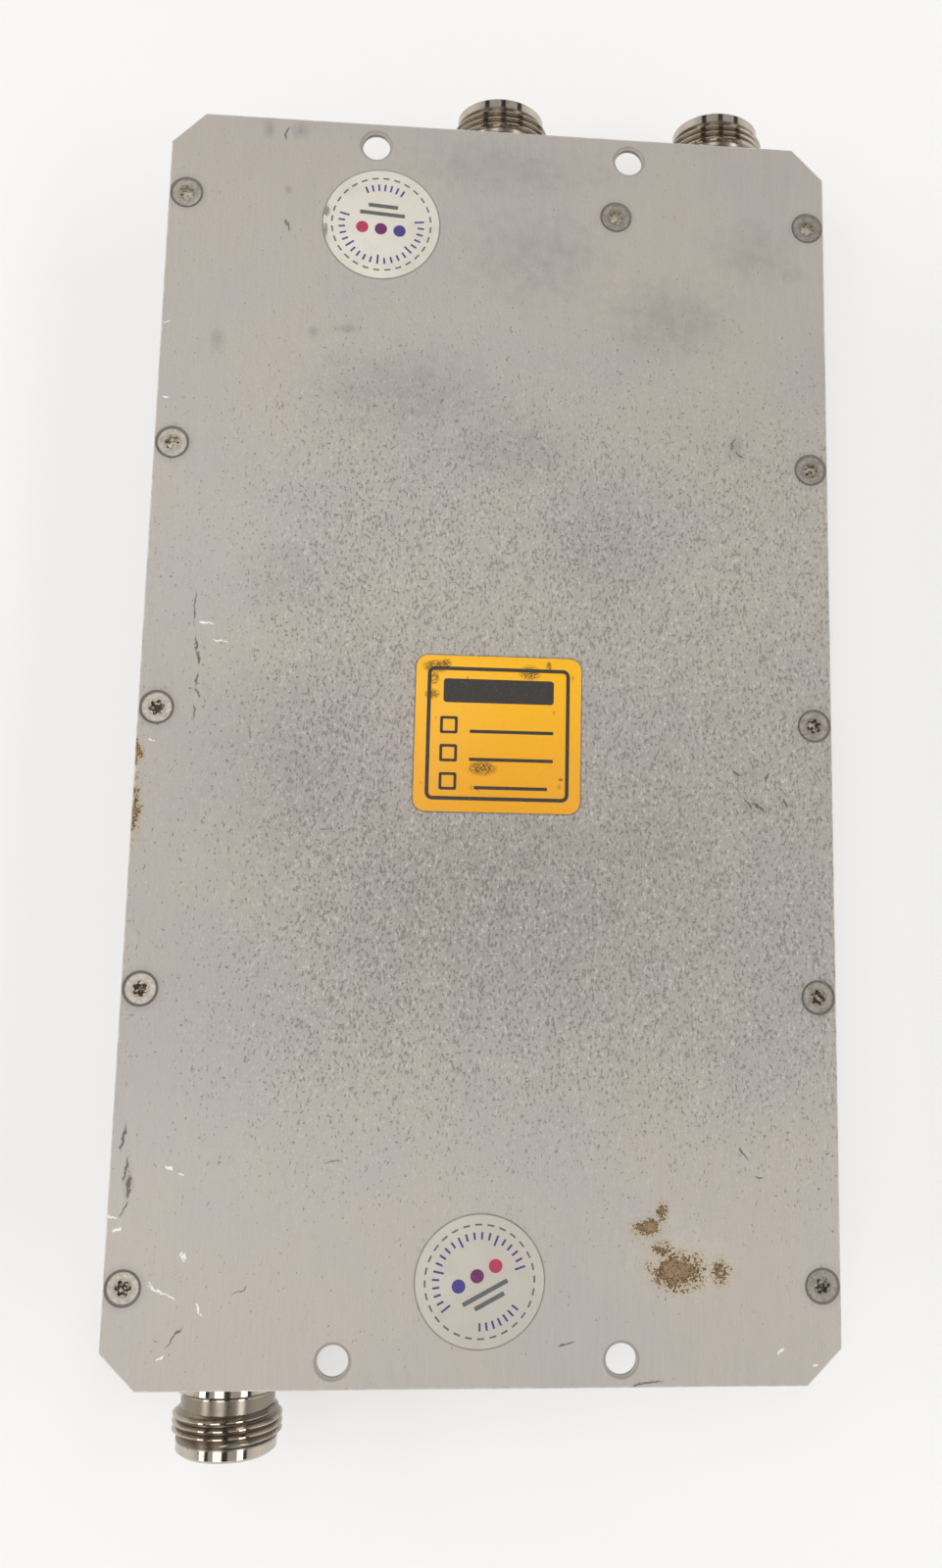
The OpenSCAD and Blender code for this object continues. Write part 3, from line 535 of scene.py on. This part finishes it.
def jack_metal():
    """Bright nickel on turned brass, with fine turning marks, and painted shade in the roots of the thread."""
    material, nodes, place = new_material("jack_nickel")
    rings = nodes.effect(GRAIN, Place=place, Stretch=(0.04, 5.0, 0.04))["Streak"]
    patch = nodes.effect(CLOUD, Place=place, Size=5.0, Low=0.45, High=0.7)["Patch"]
    speck = nodes.effect(PITS, Place=place, Density=1.4, Share=0.08)["Pit"]
    x, y, z = nodes.parts(place)
    axes = [(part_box(side + "_jack_shell")[0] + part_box(side + "_jack_shell")[1]) / 2 / MM
            for side in ("left", "centre", "right")]
    upper = nodes.math("GREATER_THAN", y, 0.0)
    outer = nodes.math("GREATER_THAN", x, (axes[1].x + axes[2].x) / 2)
    middle = nodes.between(upper, axes[0].x, nodes.between(outer, axes[1].x, axes[2].x))
    dx = nodes.math("SUBTRACT", x, middle)
    dz = nodes.math("SUBTRACT", z, axes[0].z)
    radius = nodes.math("SQRT", nodes.math("ADD", nodes.math("MULTIPLY", dx, dx), nodes.math("MULTIPLY", dz, dz)))
    out = nodes.math("ABSOLUTE", y)
    wall = abs(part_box("left_jack_shell")[1].y) / MM
    in_thread = nodes.math("MULTIPLY",
        nodes.smooth(out, wall + THREAD_START / MM - 2.2, wall + THREAD_START / MM - 1.8),
        nodes.smooth(out, wall + THREAD_END / MM + 0.4, wall + THREAD_END / MM))
    # Painted shade: the roots of the thread are painted darker, as the shade that falls in them.
    root = nodes.math("MULTIPLY", nodes.smooth(radius, JACK_R / MM - 0.1, THREAD_ROOT_R / MM + 0.05), in_thread)
    root = nodes.math("MULTIPLY", root, nodes.smooth(radius, WEB_BORE_R / MM + 2, WEB_BORE_R / MM + 2.6))
    colour = nodes.mix(nodes.math("MULTIPLY", patch, 0.4), rgb(194, 184, 170), rgb(168, 156, 140))
    colour = nodes.shade(colour, nodes.between(rings, 0.93, 1.05))
    colour = nodes.mix(nodes.math("MULTIPLY", speck, 0.5), colour, rgb(120, 100, 80))
    colour = nodes.mix(nodes.math("MULTIPLY", root, 0.6), colour, rgb(86, 76, 66))
    roughness = nodes.math("MULTIPLY_ADD", root, 0.2, nodes.between(patch, 0.05, 0.13))
    height = nodes.math("MULTIPLY_ADD", speck, -0.5, nodes.between(rings, 0.2, 0.8))
    finish_surface(nodes, colour, 1.0, roughness, height, 0.006)
    return material


def mottled(name, first, second, metallic, rough, size=2.0, depth=0.01, **fixed):
    """A plain finish with soft patches of a second colour, fine grain and uneven gloss."""
    material, nodes, place = new_material(name)
    patch = nodes.effect(CLOUD, Place=place, Size=size, Low=0.35, High=0.7)["Patch"]
    grain = nodes.effect(GRAIN, Place=place, Stretch=(2.4, 0.5, 2.4))["Streak"]
    worn = nodes.effect(EDGE_WEAR, Place=place, Radius=0.2 * MM)["Worn"]
    colour = nodes.mix(patch, first, second)
    colour = nodes.shade(colour, nodes.between(grain, 0.94, 1.04))
    colour = nodes.shade(colour, nodes.between(worn, 1.0, 1.12))
    roughness = nodes.math("MULTIPLY_ADD", patch, 0.1, nodes.between(grain, rough - 0.04, rough + 0.06))
    finish_surface(nodes, colour, metallic, roughness, grain, depth, **fixed)
    return material


def bead_plastic():
    return mottled("bead_plastic", rgb(243, 241, 236), rgb(232, 229, 221), 0.0, 0.4)


def contact_gold():
    return mottled("contact_gold", rgb(226, 190, 116), rgb(206, 166, 92), 1.0, 0.2, 1.2, 0.004)


def strip_brass():
    return mottled("strip_brass", rgb(214, 184, 120), rgb(188, 156, 96), 1.0, 0.3, 6.0)


def load_copper():
    return mottled("load_copper", rgb(206, 152, 122), rgb(176, 122, 94), 1.0, 0.34, 3.0)


def load_ceramic():
    return mottled("load_ceramic", rgb(240, 238, 233), rgb(228, 225, 217), 0.0, 0.5)


def label_vinyl():
    """Amber vinyl: a little deeper towards its lower edge, with brown scuffs and specks."""
    material, nodes, place = new_material("label_vinyl")
    low, high = (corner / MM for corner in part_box("square_label"))
    y = nodes.parts(place)[1]
    fine = nodes.noise(place, 4.2, 3.0, 0.7)
    coarse = nodes.noise(place, 1.3, 3.0, 0.6)
    torn = nodes.math("MULTIPLY", nodes.math("SUBTRACT", fine, 0.5), 3.4)
    scuff = nodes.smooth(spots(nodes, place, torn, LABEL_SCUFFS), 1.0, 0.8)
    scuff = nodes.math("MULTIPLY", scuff, nodes.smooth(fine, 0.44, 0.5))
    speck = nodes.effect(PITS, Place=place, Density=0.9, Share=0.03)["Pit"]
    worn = nodes.effect(EDGE_WEAR, Place=place, Radius=0.1 * MM)["Worn"]
    colour = nodes.mix(nodes.smooth(y, low.y, high.y), rgb(238, 166, 10), rgb(254, 188, 16))
    colour = nodes.shade(colour, nodes.between(coarse, 0.94, 1.04))
    colour = nodes.mix(nodes.math("MULTIPLY", scuff, 0.9), colour, rgb(92, 56, 26))
    colour = nodes.mix(nodes.math("MULTIPLY", speck, 0.5), colour, rgb(150, 96, 36))
    colour = nodes.mix(nodes.math("MULTIPLY", worn, 0.45), colour, rgb(120, 84, 40))
    roughness = nodes.math("MULTIPLY_ADD", scuff, 0.3, nodes.between(coarse, 0.34, 0.46), clamp=True)
    height = nodes.math("MULTIPLY_ADD", scuff, -0.7, nodes.between(coarse, 0.6, 1.0))
    finish_surface(nodes, colour, 0.0, roughness, height, 0.02)
    return material


def seal_vinyl():
    """Seals: the upper one cream, the lower one darker, both with a dirty edge."""
    material, nodes, place = new_material("seal_vinyl")
    y = nodes.parts(place)[1]
    fine = nodes.noise(place, 3.6, 3.0, 0.7)
    patch = nodes.effect(CLOUD, Place=place, Size=4.0, Low=0.4, High=0.75)["Patch"]
    worn = nodes.effect(EDGE_WEAR, Place=place, Radius=0.14 * MM)["Worn"]
    torn = nodes.math("MULTIPLY", nodes.math("SUBTRACT", fine, 0.5), 2.0)
    smear = nodes.smooth(spots(nodes, place, torn, SEAL_SMEARS), 1.0, 0.4)
    colour = nodes.mix(nodes.math("GREATER_THAN", y, 0.0), rgb(196, 189, 178), rgb(222, 215, 203))
    colour = nodes.shade(colour, nodes.between(fine, 0.95, 1.05))
    colour = nodes.mix(nodes.math("MULTIPLY", patch, 0.25), colour, rgb(176, 168, 154))
    colour = nodes.mix(nodes.math("MULTIPLY", nodes.math("MAXIMUM", worn, smear), 0.7), colour, rgb(84, 76, 66))
    roughness = nodes.between(patch, 0.32, 0.5)
    finish_surface(nodes, colour, 0.0, roughness, fine, 0.01)
    return material


def ink(name, colour, worn_to):
    """Printing ink, rubbed through in small specks."""
    material, nodes, place = new_material(name)
    fine = nodes.noise(place, 5.0, 3.0, 0.7)
    rubbed = nodes.smooth(fine, 0.62, 0.74)
    shade = nodes.shade(colour, nodes.between(nodes.noise(place, 1.5, 2.0), 0.8, 1.25))
    finish_surface(nodes, nodes.mix(rubbed, shade, worn_to), 0.0, nodes.between(fine, 0.35, 0.6), fine, 0.004)
    return material


def dress(obj, material):
    """Gives every material slot of an object the same material."""
    if not obj.material_slots:
        obj.data.materials.append(material)
    for place in obj.material_slots:
        place.material = material


def new_piece(name, bm, material, slot, *nodes, sharp=30):
    """Makes an object of a finished bmesh, smooth but for its sharp edges, and fixes it to the part."""
    mesh = bpy.data.meshes.new(name)
    bm.to_mesh(mesh)
    bm.free()
    for face in mesh.polygons:
        face.use_smooth = True
    mesh.set_sharp_from_angle(angle=math.radians(sharp))
    piece = bpy.data.objects.new(name, mesh)
    bpy.context.scene.collection.objects.link(piece)
    dress(piece, material)
    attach(piece, "root")
    if nodes:
        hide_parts(*nodes)
    return piece


def spin_profile(bm, profile):
    """Turns a closed outline of (radius, height) points round the Z axis."""
    corners = [bm.verts.new((radius, 0, height)) for radius, height in profile]
    edges = [bm.edges.new((a, b)) for a, b in zip(corners, corners[1:] + corners[:1])]
    made = bmesh.ops.spin(bm, geom=corners + edges, cent=(0, 0, 0), axis=(0, 0, 1), dvec=(0, 0, 0),
                          angle=2 * math.pi, steps=SPIN_STEPS, use_merge=True, use_duplicate=False)
    bmesh.ops.remove_doubles(bm, verts=bm.verts, dist=0.001 * MM)
    return made


def wind_thread(bm):
    """Winds one ridge round the Z axis as a right-hand thread that fades out at both ends."""
    first = THREAD_START + THREAD_BASE / 2
    turns = (THREAD_END - THREAD_START - THREAD_BASE) / THREAD_PITCH
    section = [(THREAD_ROOT_R, -THREAD_BASE / 2), (JACK_R, -THREAD_FLAT / 2),
               (JACK_R, THREAD_FLAT / 2), (THREAD_ROOT_R, THREAD_BASE / 2)]
    corners = [bm.verts.new((radius, 0, first + height)) for radius, height in section]
    start = bm.faces.new(corners)
    before = set(bm.verts) - set(corners)
    steps = round(turns * SPIN_STEPS)
    angle = 2 * math.pi * turns
    rise = (0, 0, turns * THREAD_PITCH / steps)
    bmesh.ops.spin(bm, geom=[start, *start.edges, *corners], cent=(0, 0, 0), axis=(0, 0, 1), dvec=rise,
                   angle=angle, steps=steps, use_merge=False, use_duplicate=False)
    for corner in set(bm.verts) - before:
        part_turn = math.atan2(corner.co.y, corner.co.x) / (2 * math.pi) % 1
        whole_turns = round((corner.co.z - first) / THREAD_PITCH - part_turn)
        turn = whole_turns + part_turn
        strength = max(0.0, min(1.0, turn / THREAD_FADE, (turns - turn) / THREAD_FADE))
        radius = corner.co.xy.length
        kept = THREAD_ROOT_R - 0.1 * MM + (radius - THREAD_ROOT_R + 0.1 * MM) * strength
        corner.co.xy *= kept / radius


def jack_shell(side, material):
    """Keeps the flange and its holes from the plain solid, and turns the front of the shell afresh."""
    node = side + "_jack_shell"
    low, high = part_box(node)
    out = 1 if low.y > 0 else -1
    wall = low.y if out > 0 else high.y
    bm = bmesh.new()
    profile = [
        (BEAD_BORE_R, STUB_END), (JACK_R, STUB_END), (JACK_R, SHOULDER_END - JACK_BREAK),
        (JACK_R - JACK_BREAK, SHOULDER_END), (RELIEF_R, SHOULDER_END),
        (RELIEF_R, THREAD_START), (THREAD_ROOT_R, THREAD_START + JACK_BREAK), (THREAD_ROOT_R, THREAD_END),
        (NOSE_R, THREAD_END), (NOSE_R, NOSE_END - JACK_BREAK), (NOSE_R - JACK_BREAK, NOSE_END),
        (SLEEVE_BORE_R + JACK_BREAK / 2, NOSE_END), (SLEEVE_BORE_R, NOSE_END - JACK_BREAK / 2),
        (SLEEVE_BORE_R, WEB_FRONT), (WEB_BORE_R, WEB_FRONT), (WEB_BORE_R, WEB_BACK),
        (BEAD_BORE_R, WEB_BACK)]
    spin_profile(bm, profile)
    wind_thread(bm)
    bmesh.ops.recalc_face_normals(bm, faces=bm.faces)
    middle = (low + high) / 2
    turn = Matrix.Rotation(math.radians(-90 * out), 4, "X")
    bmesh.ops.transform(bm, matrix=Matrix.Translation((middle.x, wall, middle.z)) @ turn, verts=bm.verts)

    stub = bmesh.new()
    stub.from_mesh(frame["nodes"][node].data)
    bmesh.ops.remove_doubles(stub, verts=stub.verts, dist=0.001 * MM)
    cut = bmesh.ops.bisect_plane(
        stub, geom=stub.verts[:] + stub.edges[:] + stub.faces[:], dist=0.0001 * MM,
        plane_co=(0, wall + out * STUB_END, 0), plane_no=(0, out, 0), clear_outer=True)["geom_cut"]
    rim = [edge for edge in cut if isinstance(edge, bmesh.types.BMEdge)]
    bmesh.ops.bridge_loops(stub, edges=rim)
    kept = bpy.data.meshes.new("stub")
    stub.to_mesh(kept)
    stub.free()
    bm.from_mesh(kept)
    bpy.data.meshes.remove(kept)
    return new_piece(side + "_jack_turned_shell", bm, material, "jack_shell", node)


def rounded_sheet(middle, size, corner=0.0, base=LABEL_FACE):
    """A flat face with rounded corners, size across X and Y, on the height base."""
    bm = bmesh.new()
    bmesh.ops.create_grid(bm, x_segments=1, y_segments=1, size=0.5)
    bmesh.ops.scale(bm, vec=(size[0] * MM, size[1] * MM, 1), verts=bm.verts)
    if corner:
        bmesh.ops.bevel(bm, geom=bm.verts[:], offset=corner * MM, offset_type="OFFSET", affect="VERTICES",
                        segments=8, profile=0.5, material=-1)
    bmesh.ops.translate(bm, vec=(middle[0] * MM, middle[1] * MM, base * MM), verts=bm.verts)
    return bm


def thicken(bm, thick, edge=0.0):
    """Gives flat faces a thickness upwards, with a small break along the upper edges."""
    faces = list(bm.faces)
    top = bmesh.ops.extrude_face_region(bm, geom=faces)["geom"]
    lifted = [item for item in top if isinstance(item, bmesh.types.BMVert)]
    bmesh.ops.translate(bm, vec=(0, 0, thick * MM), verts=lifted)
    bmesh.ops.recalc_face_normals(bm, faces=bm.faces)
    if edge:
        height = max(vert.co.z for vert in lifted)
        rim = [item for item in bm.edges if item.is_manifold and item.calc_face_angle(0) > 1
               and all(vert.co.z > height - 0.001 * MM for vert in item.verts)]
        bmesh.ops.bevel(bm, geom=rim, offset=edge * MM, offset_type="OFFSET", affect="EDGES",
                        segments=2, profile=0.5, material=-1)


def node_middle(name):
    low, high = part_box(name)
    return (low + high) / 2 / MM, (high - low) / MM


def square_label(material):
    middle, size = node_middle("square_label")
    bm = rounded_sheet(middle, size, LABEL_CORNER)
    thicken(bm, LABEL_T, 0.02)
    return new_piece("square_label_vinyl", bm, material, "yellow_label", "square_label")


def round_seal(name, material):
    middle, size = node_middle(name)
    bm = bmesh.new()
    bmesh.ops.create_circle(bm, cap_ends=True, segments=SPIN_STEPS, radius=size.x / 2 * MM)
    bmesh.ops.translate(bm, vec=(middle.x * MM, middle.y * MM, LABEL_FACE * MM), verts=bm.verts)
    thicken(bm, LABEL_T, 0.02)
    return new_piece(name + "_vinyl", bm, material, "round_seal", name)


def frame_ring(bm, middle, size, corner, line):
    """A rounded outline of one line width."""
    piece = rounded_sheet(middle, size, corner, LABEL_FACE + LABEL_T)
    inner = list(piece.faces)
    bmesh.ops.inset_region(piece, faces=inner, thickness=line * MM, use_even_offset=True,
                           use_boundary=True, depth=0)
    bmesh.ops.delete(piece, geom=inner, context="FACES")
    merge_into(bm, piece)


def merge_into(bm, piece):
    mesh = bpy.data.meshes.new("merged")
    piece.to_mesh(mesh)
    piece.free()
    bm.from_mesh(mesh)
    bpy.data.meshes.remove(mesh)


def bar(bm, middle, size, corner=0.0, turn=0.0, about=(0, 0)):
    """A flat printed bar, turned in degrees about a point after it is placed."""
    piece = rounded_sheet(middle, size, corner, LABEL_FACE + LABEL_T)
    if turn:
        bmesh.ops.rotate(piece, cent=(about[0] * MM, about[1] * MM, 0), verts=piece.verts,
                         matrix=Matrix.Rotation(math.radians(turn), 3, "Z"))
    merge_into(bm, piece)


def dot(bm, middle, radius):
    piece = bmesh.new()
    bmesh.ops.create_circle(piece, cap_ends=True, segments=32, radius=radius * MM)
    bmesh.ops.translate(piece, vec=(middle[0] * MM, middle[1] * MM, (LABEL_FACE + LABEL_T) * MM),
                        verts=piece.verts)
    merge_into(bm, piece)


def label_print(material):
    """A blank form: an outline, a solid heading bar, and three lines with a tick box each."""
    middle, size = node_middle("square_label")
    bm = bmesh.new()
    frame_ring(bm, middle, (size.x - 3.4, size.y - 3.4), 1.1, 0.55)
    bar(bm, (middle.x, middle.y + 6.4), (16.4, 3.6), 0.5)
    for row in range(3):
        y = middle.y + 1.2 - row * 4.2
        frame_ring(bm, (middle.x - 7.3, y), (2.6, 2.6), 0.3, 0.42)
        bar(bm, (middle.x + 2.0, y - 0.9), (12.4 - 1.6 * (row == 2), 0.5), 0.1)
    thicken(bm, INK_T)
    return new_piece("square_label_print", bm, material, "yellow_label")


def seal_print(name, turn, inks):
    """A ring of dashes, a scale of short ticks, three dots in a row and two bars."""
    middle, size = node_middle(name)
    about = (middle.x, middle.y)
    edge = size.x / 2
    layers = {colour: bmesh.new() for colour in inks}
    for step in range(28):
        bar(layers["grey"], (middle.x, middle.y + edge - 1.35), (0.95, 0.24), 0, turn + step * 360 / 28, about)
    for step in range(-10, 11):
        long = 1.5 if step % 5 == 0 else 1.0
        bar(layers["navy"], (middle.x, middle.y + edge - 2.35 - long / 2), (0.28, long), 0,
            turn + step * 10, about)
    for step in range(-3, 4):
        bar(layers["navy"], (middle.x, middle.y - edge + 2.9), (0.28, 1.1), 0, turn + step * 9, about)
    for colour, place in (("navy", -2.9), ("plum", 0.0), ("red", 2.9)):
        piece = bmesh.new()
        dot(piece, (middle.x + place, middle.y + 0.8), 0.95)
        bmesh.ops.rotate(piece, cent=(middle.x * MM, middle.y * MM, 0), verts=piece.verts,
                         matrix=Matrix.Rotation(math.radians(turn), 3, "Z"))
        merge_into(layers[colour], piece)
    for width, drop in ((7.0, 1.7), (4.6, 3.0)):
        bar(layers["grey"], (middle.x, middle.y - drop), (width, 0.62), 0.12, turn, about)
    for colour, bm in layers.items():
        thicken(bm, INK_T)
        new_piece(name + "_print_" + colour, bm, inks[colour], "round_seal")


def dress_nodes():
    """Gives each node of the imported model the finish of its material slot."""
    finishes = {
        "housing": housing_metal(), "plate": plate_metal(), "screws": screw_metal(),
        "jack_shell": jack_metal(), "white_plastic": bead_plastic(), "contact": contact_gold(),
        "strip": strip_brass(), "load_metal": load_copper(), "ceramic": load_ceramic(),
        "yellow_label": label_vinyl(), "round_seal": seal_vinyl()}
    for subpart in frame["record"]["subparts"]:
        dress(frame["nodes"][subpart["node"]], finishes[subpart["material_slot"]])
    return finishes


def seen_directly(nodes):
    """1 for what the camera, mirrors and glass show, 0 for the light that falls on the object."""
    ray = nodes.add("LightPath").outputs
    mirrored = nodes.math("MAXIMUM", ray["Is Glossy Ray"], ray["Is Transmission Ray"])
    return nodes.math("MAXIMUM", ray["Is Camera Ray"], mirrored)


def make_floor():
    """A wide pale floor under the housing, white in the distance to the eye, in mirrors and through glass."""
    bm = bmesh.new()
    bmesh.ops.create_grid(bm, x_segments=1, y_segments=1, size=FLOOR_SIZE / 2)
    mesh = bpy.data.meshes.new("studio_floor")
    bm.to_mesh(mesh)
    bm.free()
    floor = bpy.data.objects.new("studio_floor", mesh)
    floor.location.z = FLOOR_HEIGHT
    bpy.context.scene.collection.objects.link(floor)
    material, nodes, place = new_material("studio_floor_paint")
    tone = nodes.between(nodes.noise(place, 0.02, 2.0), 0.985, 1.0)
    far = nodes.smooth(nodes.vector("LENGTH", place).outputs["Value"], *FLOOR_FADE)
    white = nodes.math("MULTIPLY", nodes.between(far, 0.4, 1.0), seen_directly(nodes))
    paint = nodes.shade(rgb(250, 249, 248), nodes.math("MULTIPLY", tone, nodes.math("SUBTRACT", 1.0, white)))
    finish_surface(nodes, paint, 0.0, 0.7, Specular_Ior_Level=0.2,
                   Emission_Color=(1, 1, 1, 1), Emission_Strength=white)
    dress(floor, material)


FLOOR_SIZE = 8.0
FLOOR_HEIGHT = -0.1 * MM
# The floor turns plain white for the eye between these distances from the housing, in millimetres.
FLOOR_FADE = (150.0, 700.0)
# The camera that matches the photo: its place, its turn about X, Y and Z in degrees, lens and shift.
CAMERA_PLACE = (-0.00754, -0.03776, 0.23667)
CAMERA_TURN = (8.681, -4.772, 0.827)
CAMERA_LENS = 31.78
CAMERA_SHIFT = (-0.0508, -0.0141)
# Soft boxes: place, size and power. Each faces the middle of the plate.
SOFT_BOXES = [
    ((-0.95, 0.0, 0.85), (0.28, 1.0), 3.2),
    ((-0.22, 0.02, 1.1), (0.36, 1.2), 2.9),
    ((0.75, -0.12, 0.9), (0.26, 1.0), 3.1),
]
# Brightness of the room from the side and from above, and its stripes along Y, which the jacks mirror.
HORIZON = 1.0
ZENITH = 0.55
STRIPE_LOW = 0.12
STRIPES_PER_RADIAN = 1.3
STRIPE_SHIFT = -2.3


def make_camera():
    data = bpy.data.cameras.new("photo_camera")
    data.sensor_width = 36
    data.sensor_fit = "AUTO"
    data.lens = CAMERA_LENS
    data.shift_x, data.shift_y = CAMERA_SHIFT
    data.clip_start = 0.01
    data.clip_end = 50
    camera = bpy.data.objects.new("photo_camera", data)
    camera.location = CAMERA_PLACE
    camera.rotation_euler = [math.radians(angle) for angle in CAMERA_TURN]
    bpy.context.scene.collection.objects.link(camera)
    bpy.context.scene.camera = camera


def make_lights():
    """Three soft boxes above the plate, in a room that is pale round the sides and dimmer overhead."""
    for index, (place, size, power) in enumerate(SOFT_BOXES):
        data = bpy.data.lights.new(f"soft_box_{index}", "AREA")
        data.shape = "RECTANGLE"
        data.size, data.size_y = size
        data.energy = power
        light = bpy.data.objects.new(f"soft_box_{index}", data)
        light.location = place
        light.rotation_euler = (-Vector(place)).to_track_quat("-Z", "X").to_euler()
        bpy.context.scene.collection.objects.link(light)
    world = bpy.data.worlds.new("studio_room")
    bpy.context.scene.world = world
    world.use_nodes = True
    world.node_tree.nodes.clear()
    nodes = Nodes(world.node_tree)
    across, _, up = nodes.parts(nodes.add("TexCoord").outputs["Generated"])
    level = nodes.between(nodes.smooth(up, 0.1, 0.75), HORIZON, ZENITH)
    swing = nodes.math("ARCTAN2", across, up)
    wave = nodes.math("MULTIPLY_ADD", swing, 2 * math.pi * STRIPES_PER_RADIAN, STRIPE_SHIFT)
    stripe = nodes.smooth(nodes.math("SINE", wave), -0.85, -0.35)
    stripe = nodes.math("MAXIMUM", stripe, nodes.smooth(up, 0.5, 0.3))
    level = nodes.math("MULTIPLY", level, nodes.between(stripe, STRIPE_LOW, 1.0))
    background = nodes.add("Background", {"Color": nodes.shade((1.0, 0.99, 0.975, 1), level)})
    nodes.tree.links.new(background.outputs[0], nodes.add("OutputWorld").inputs["Surface"])


finishes = dress_nodes()
for side in ("left", "centre", "right"):
    jack_shell(side, finishes["jack_shell"])
square_label(finishes["yellow_label"])
label_print(ink("label_ink", rgb(44, 40, 38), rgb(226, 162, 44)))
PALE = rgb(205, 197, 184)
INKS = {"navy": ink("navy_ink", rgb(66, 56, 128), PALE), "plum": ink("plum_ink", rgb(104, 34, 92), PALE),
        "red": ink("red_ink", rgb(176, 48, 84), PALE), "grey": ink("grey_ink", rgb(92, 96, 96), PALE)}
for seal, turn in (("upper_seal", 176), ("lower_seal", 28)):
    round_seal(seal, finishes["round_seal"])
    seal_print(seal, turn, INKS)

make_floor()
make_lights()
make_camera()
bpy.context.scene.view_settings.view_transform = "Standard"
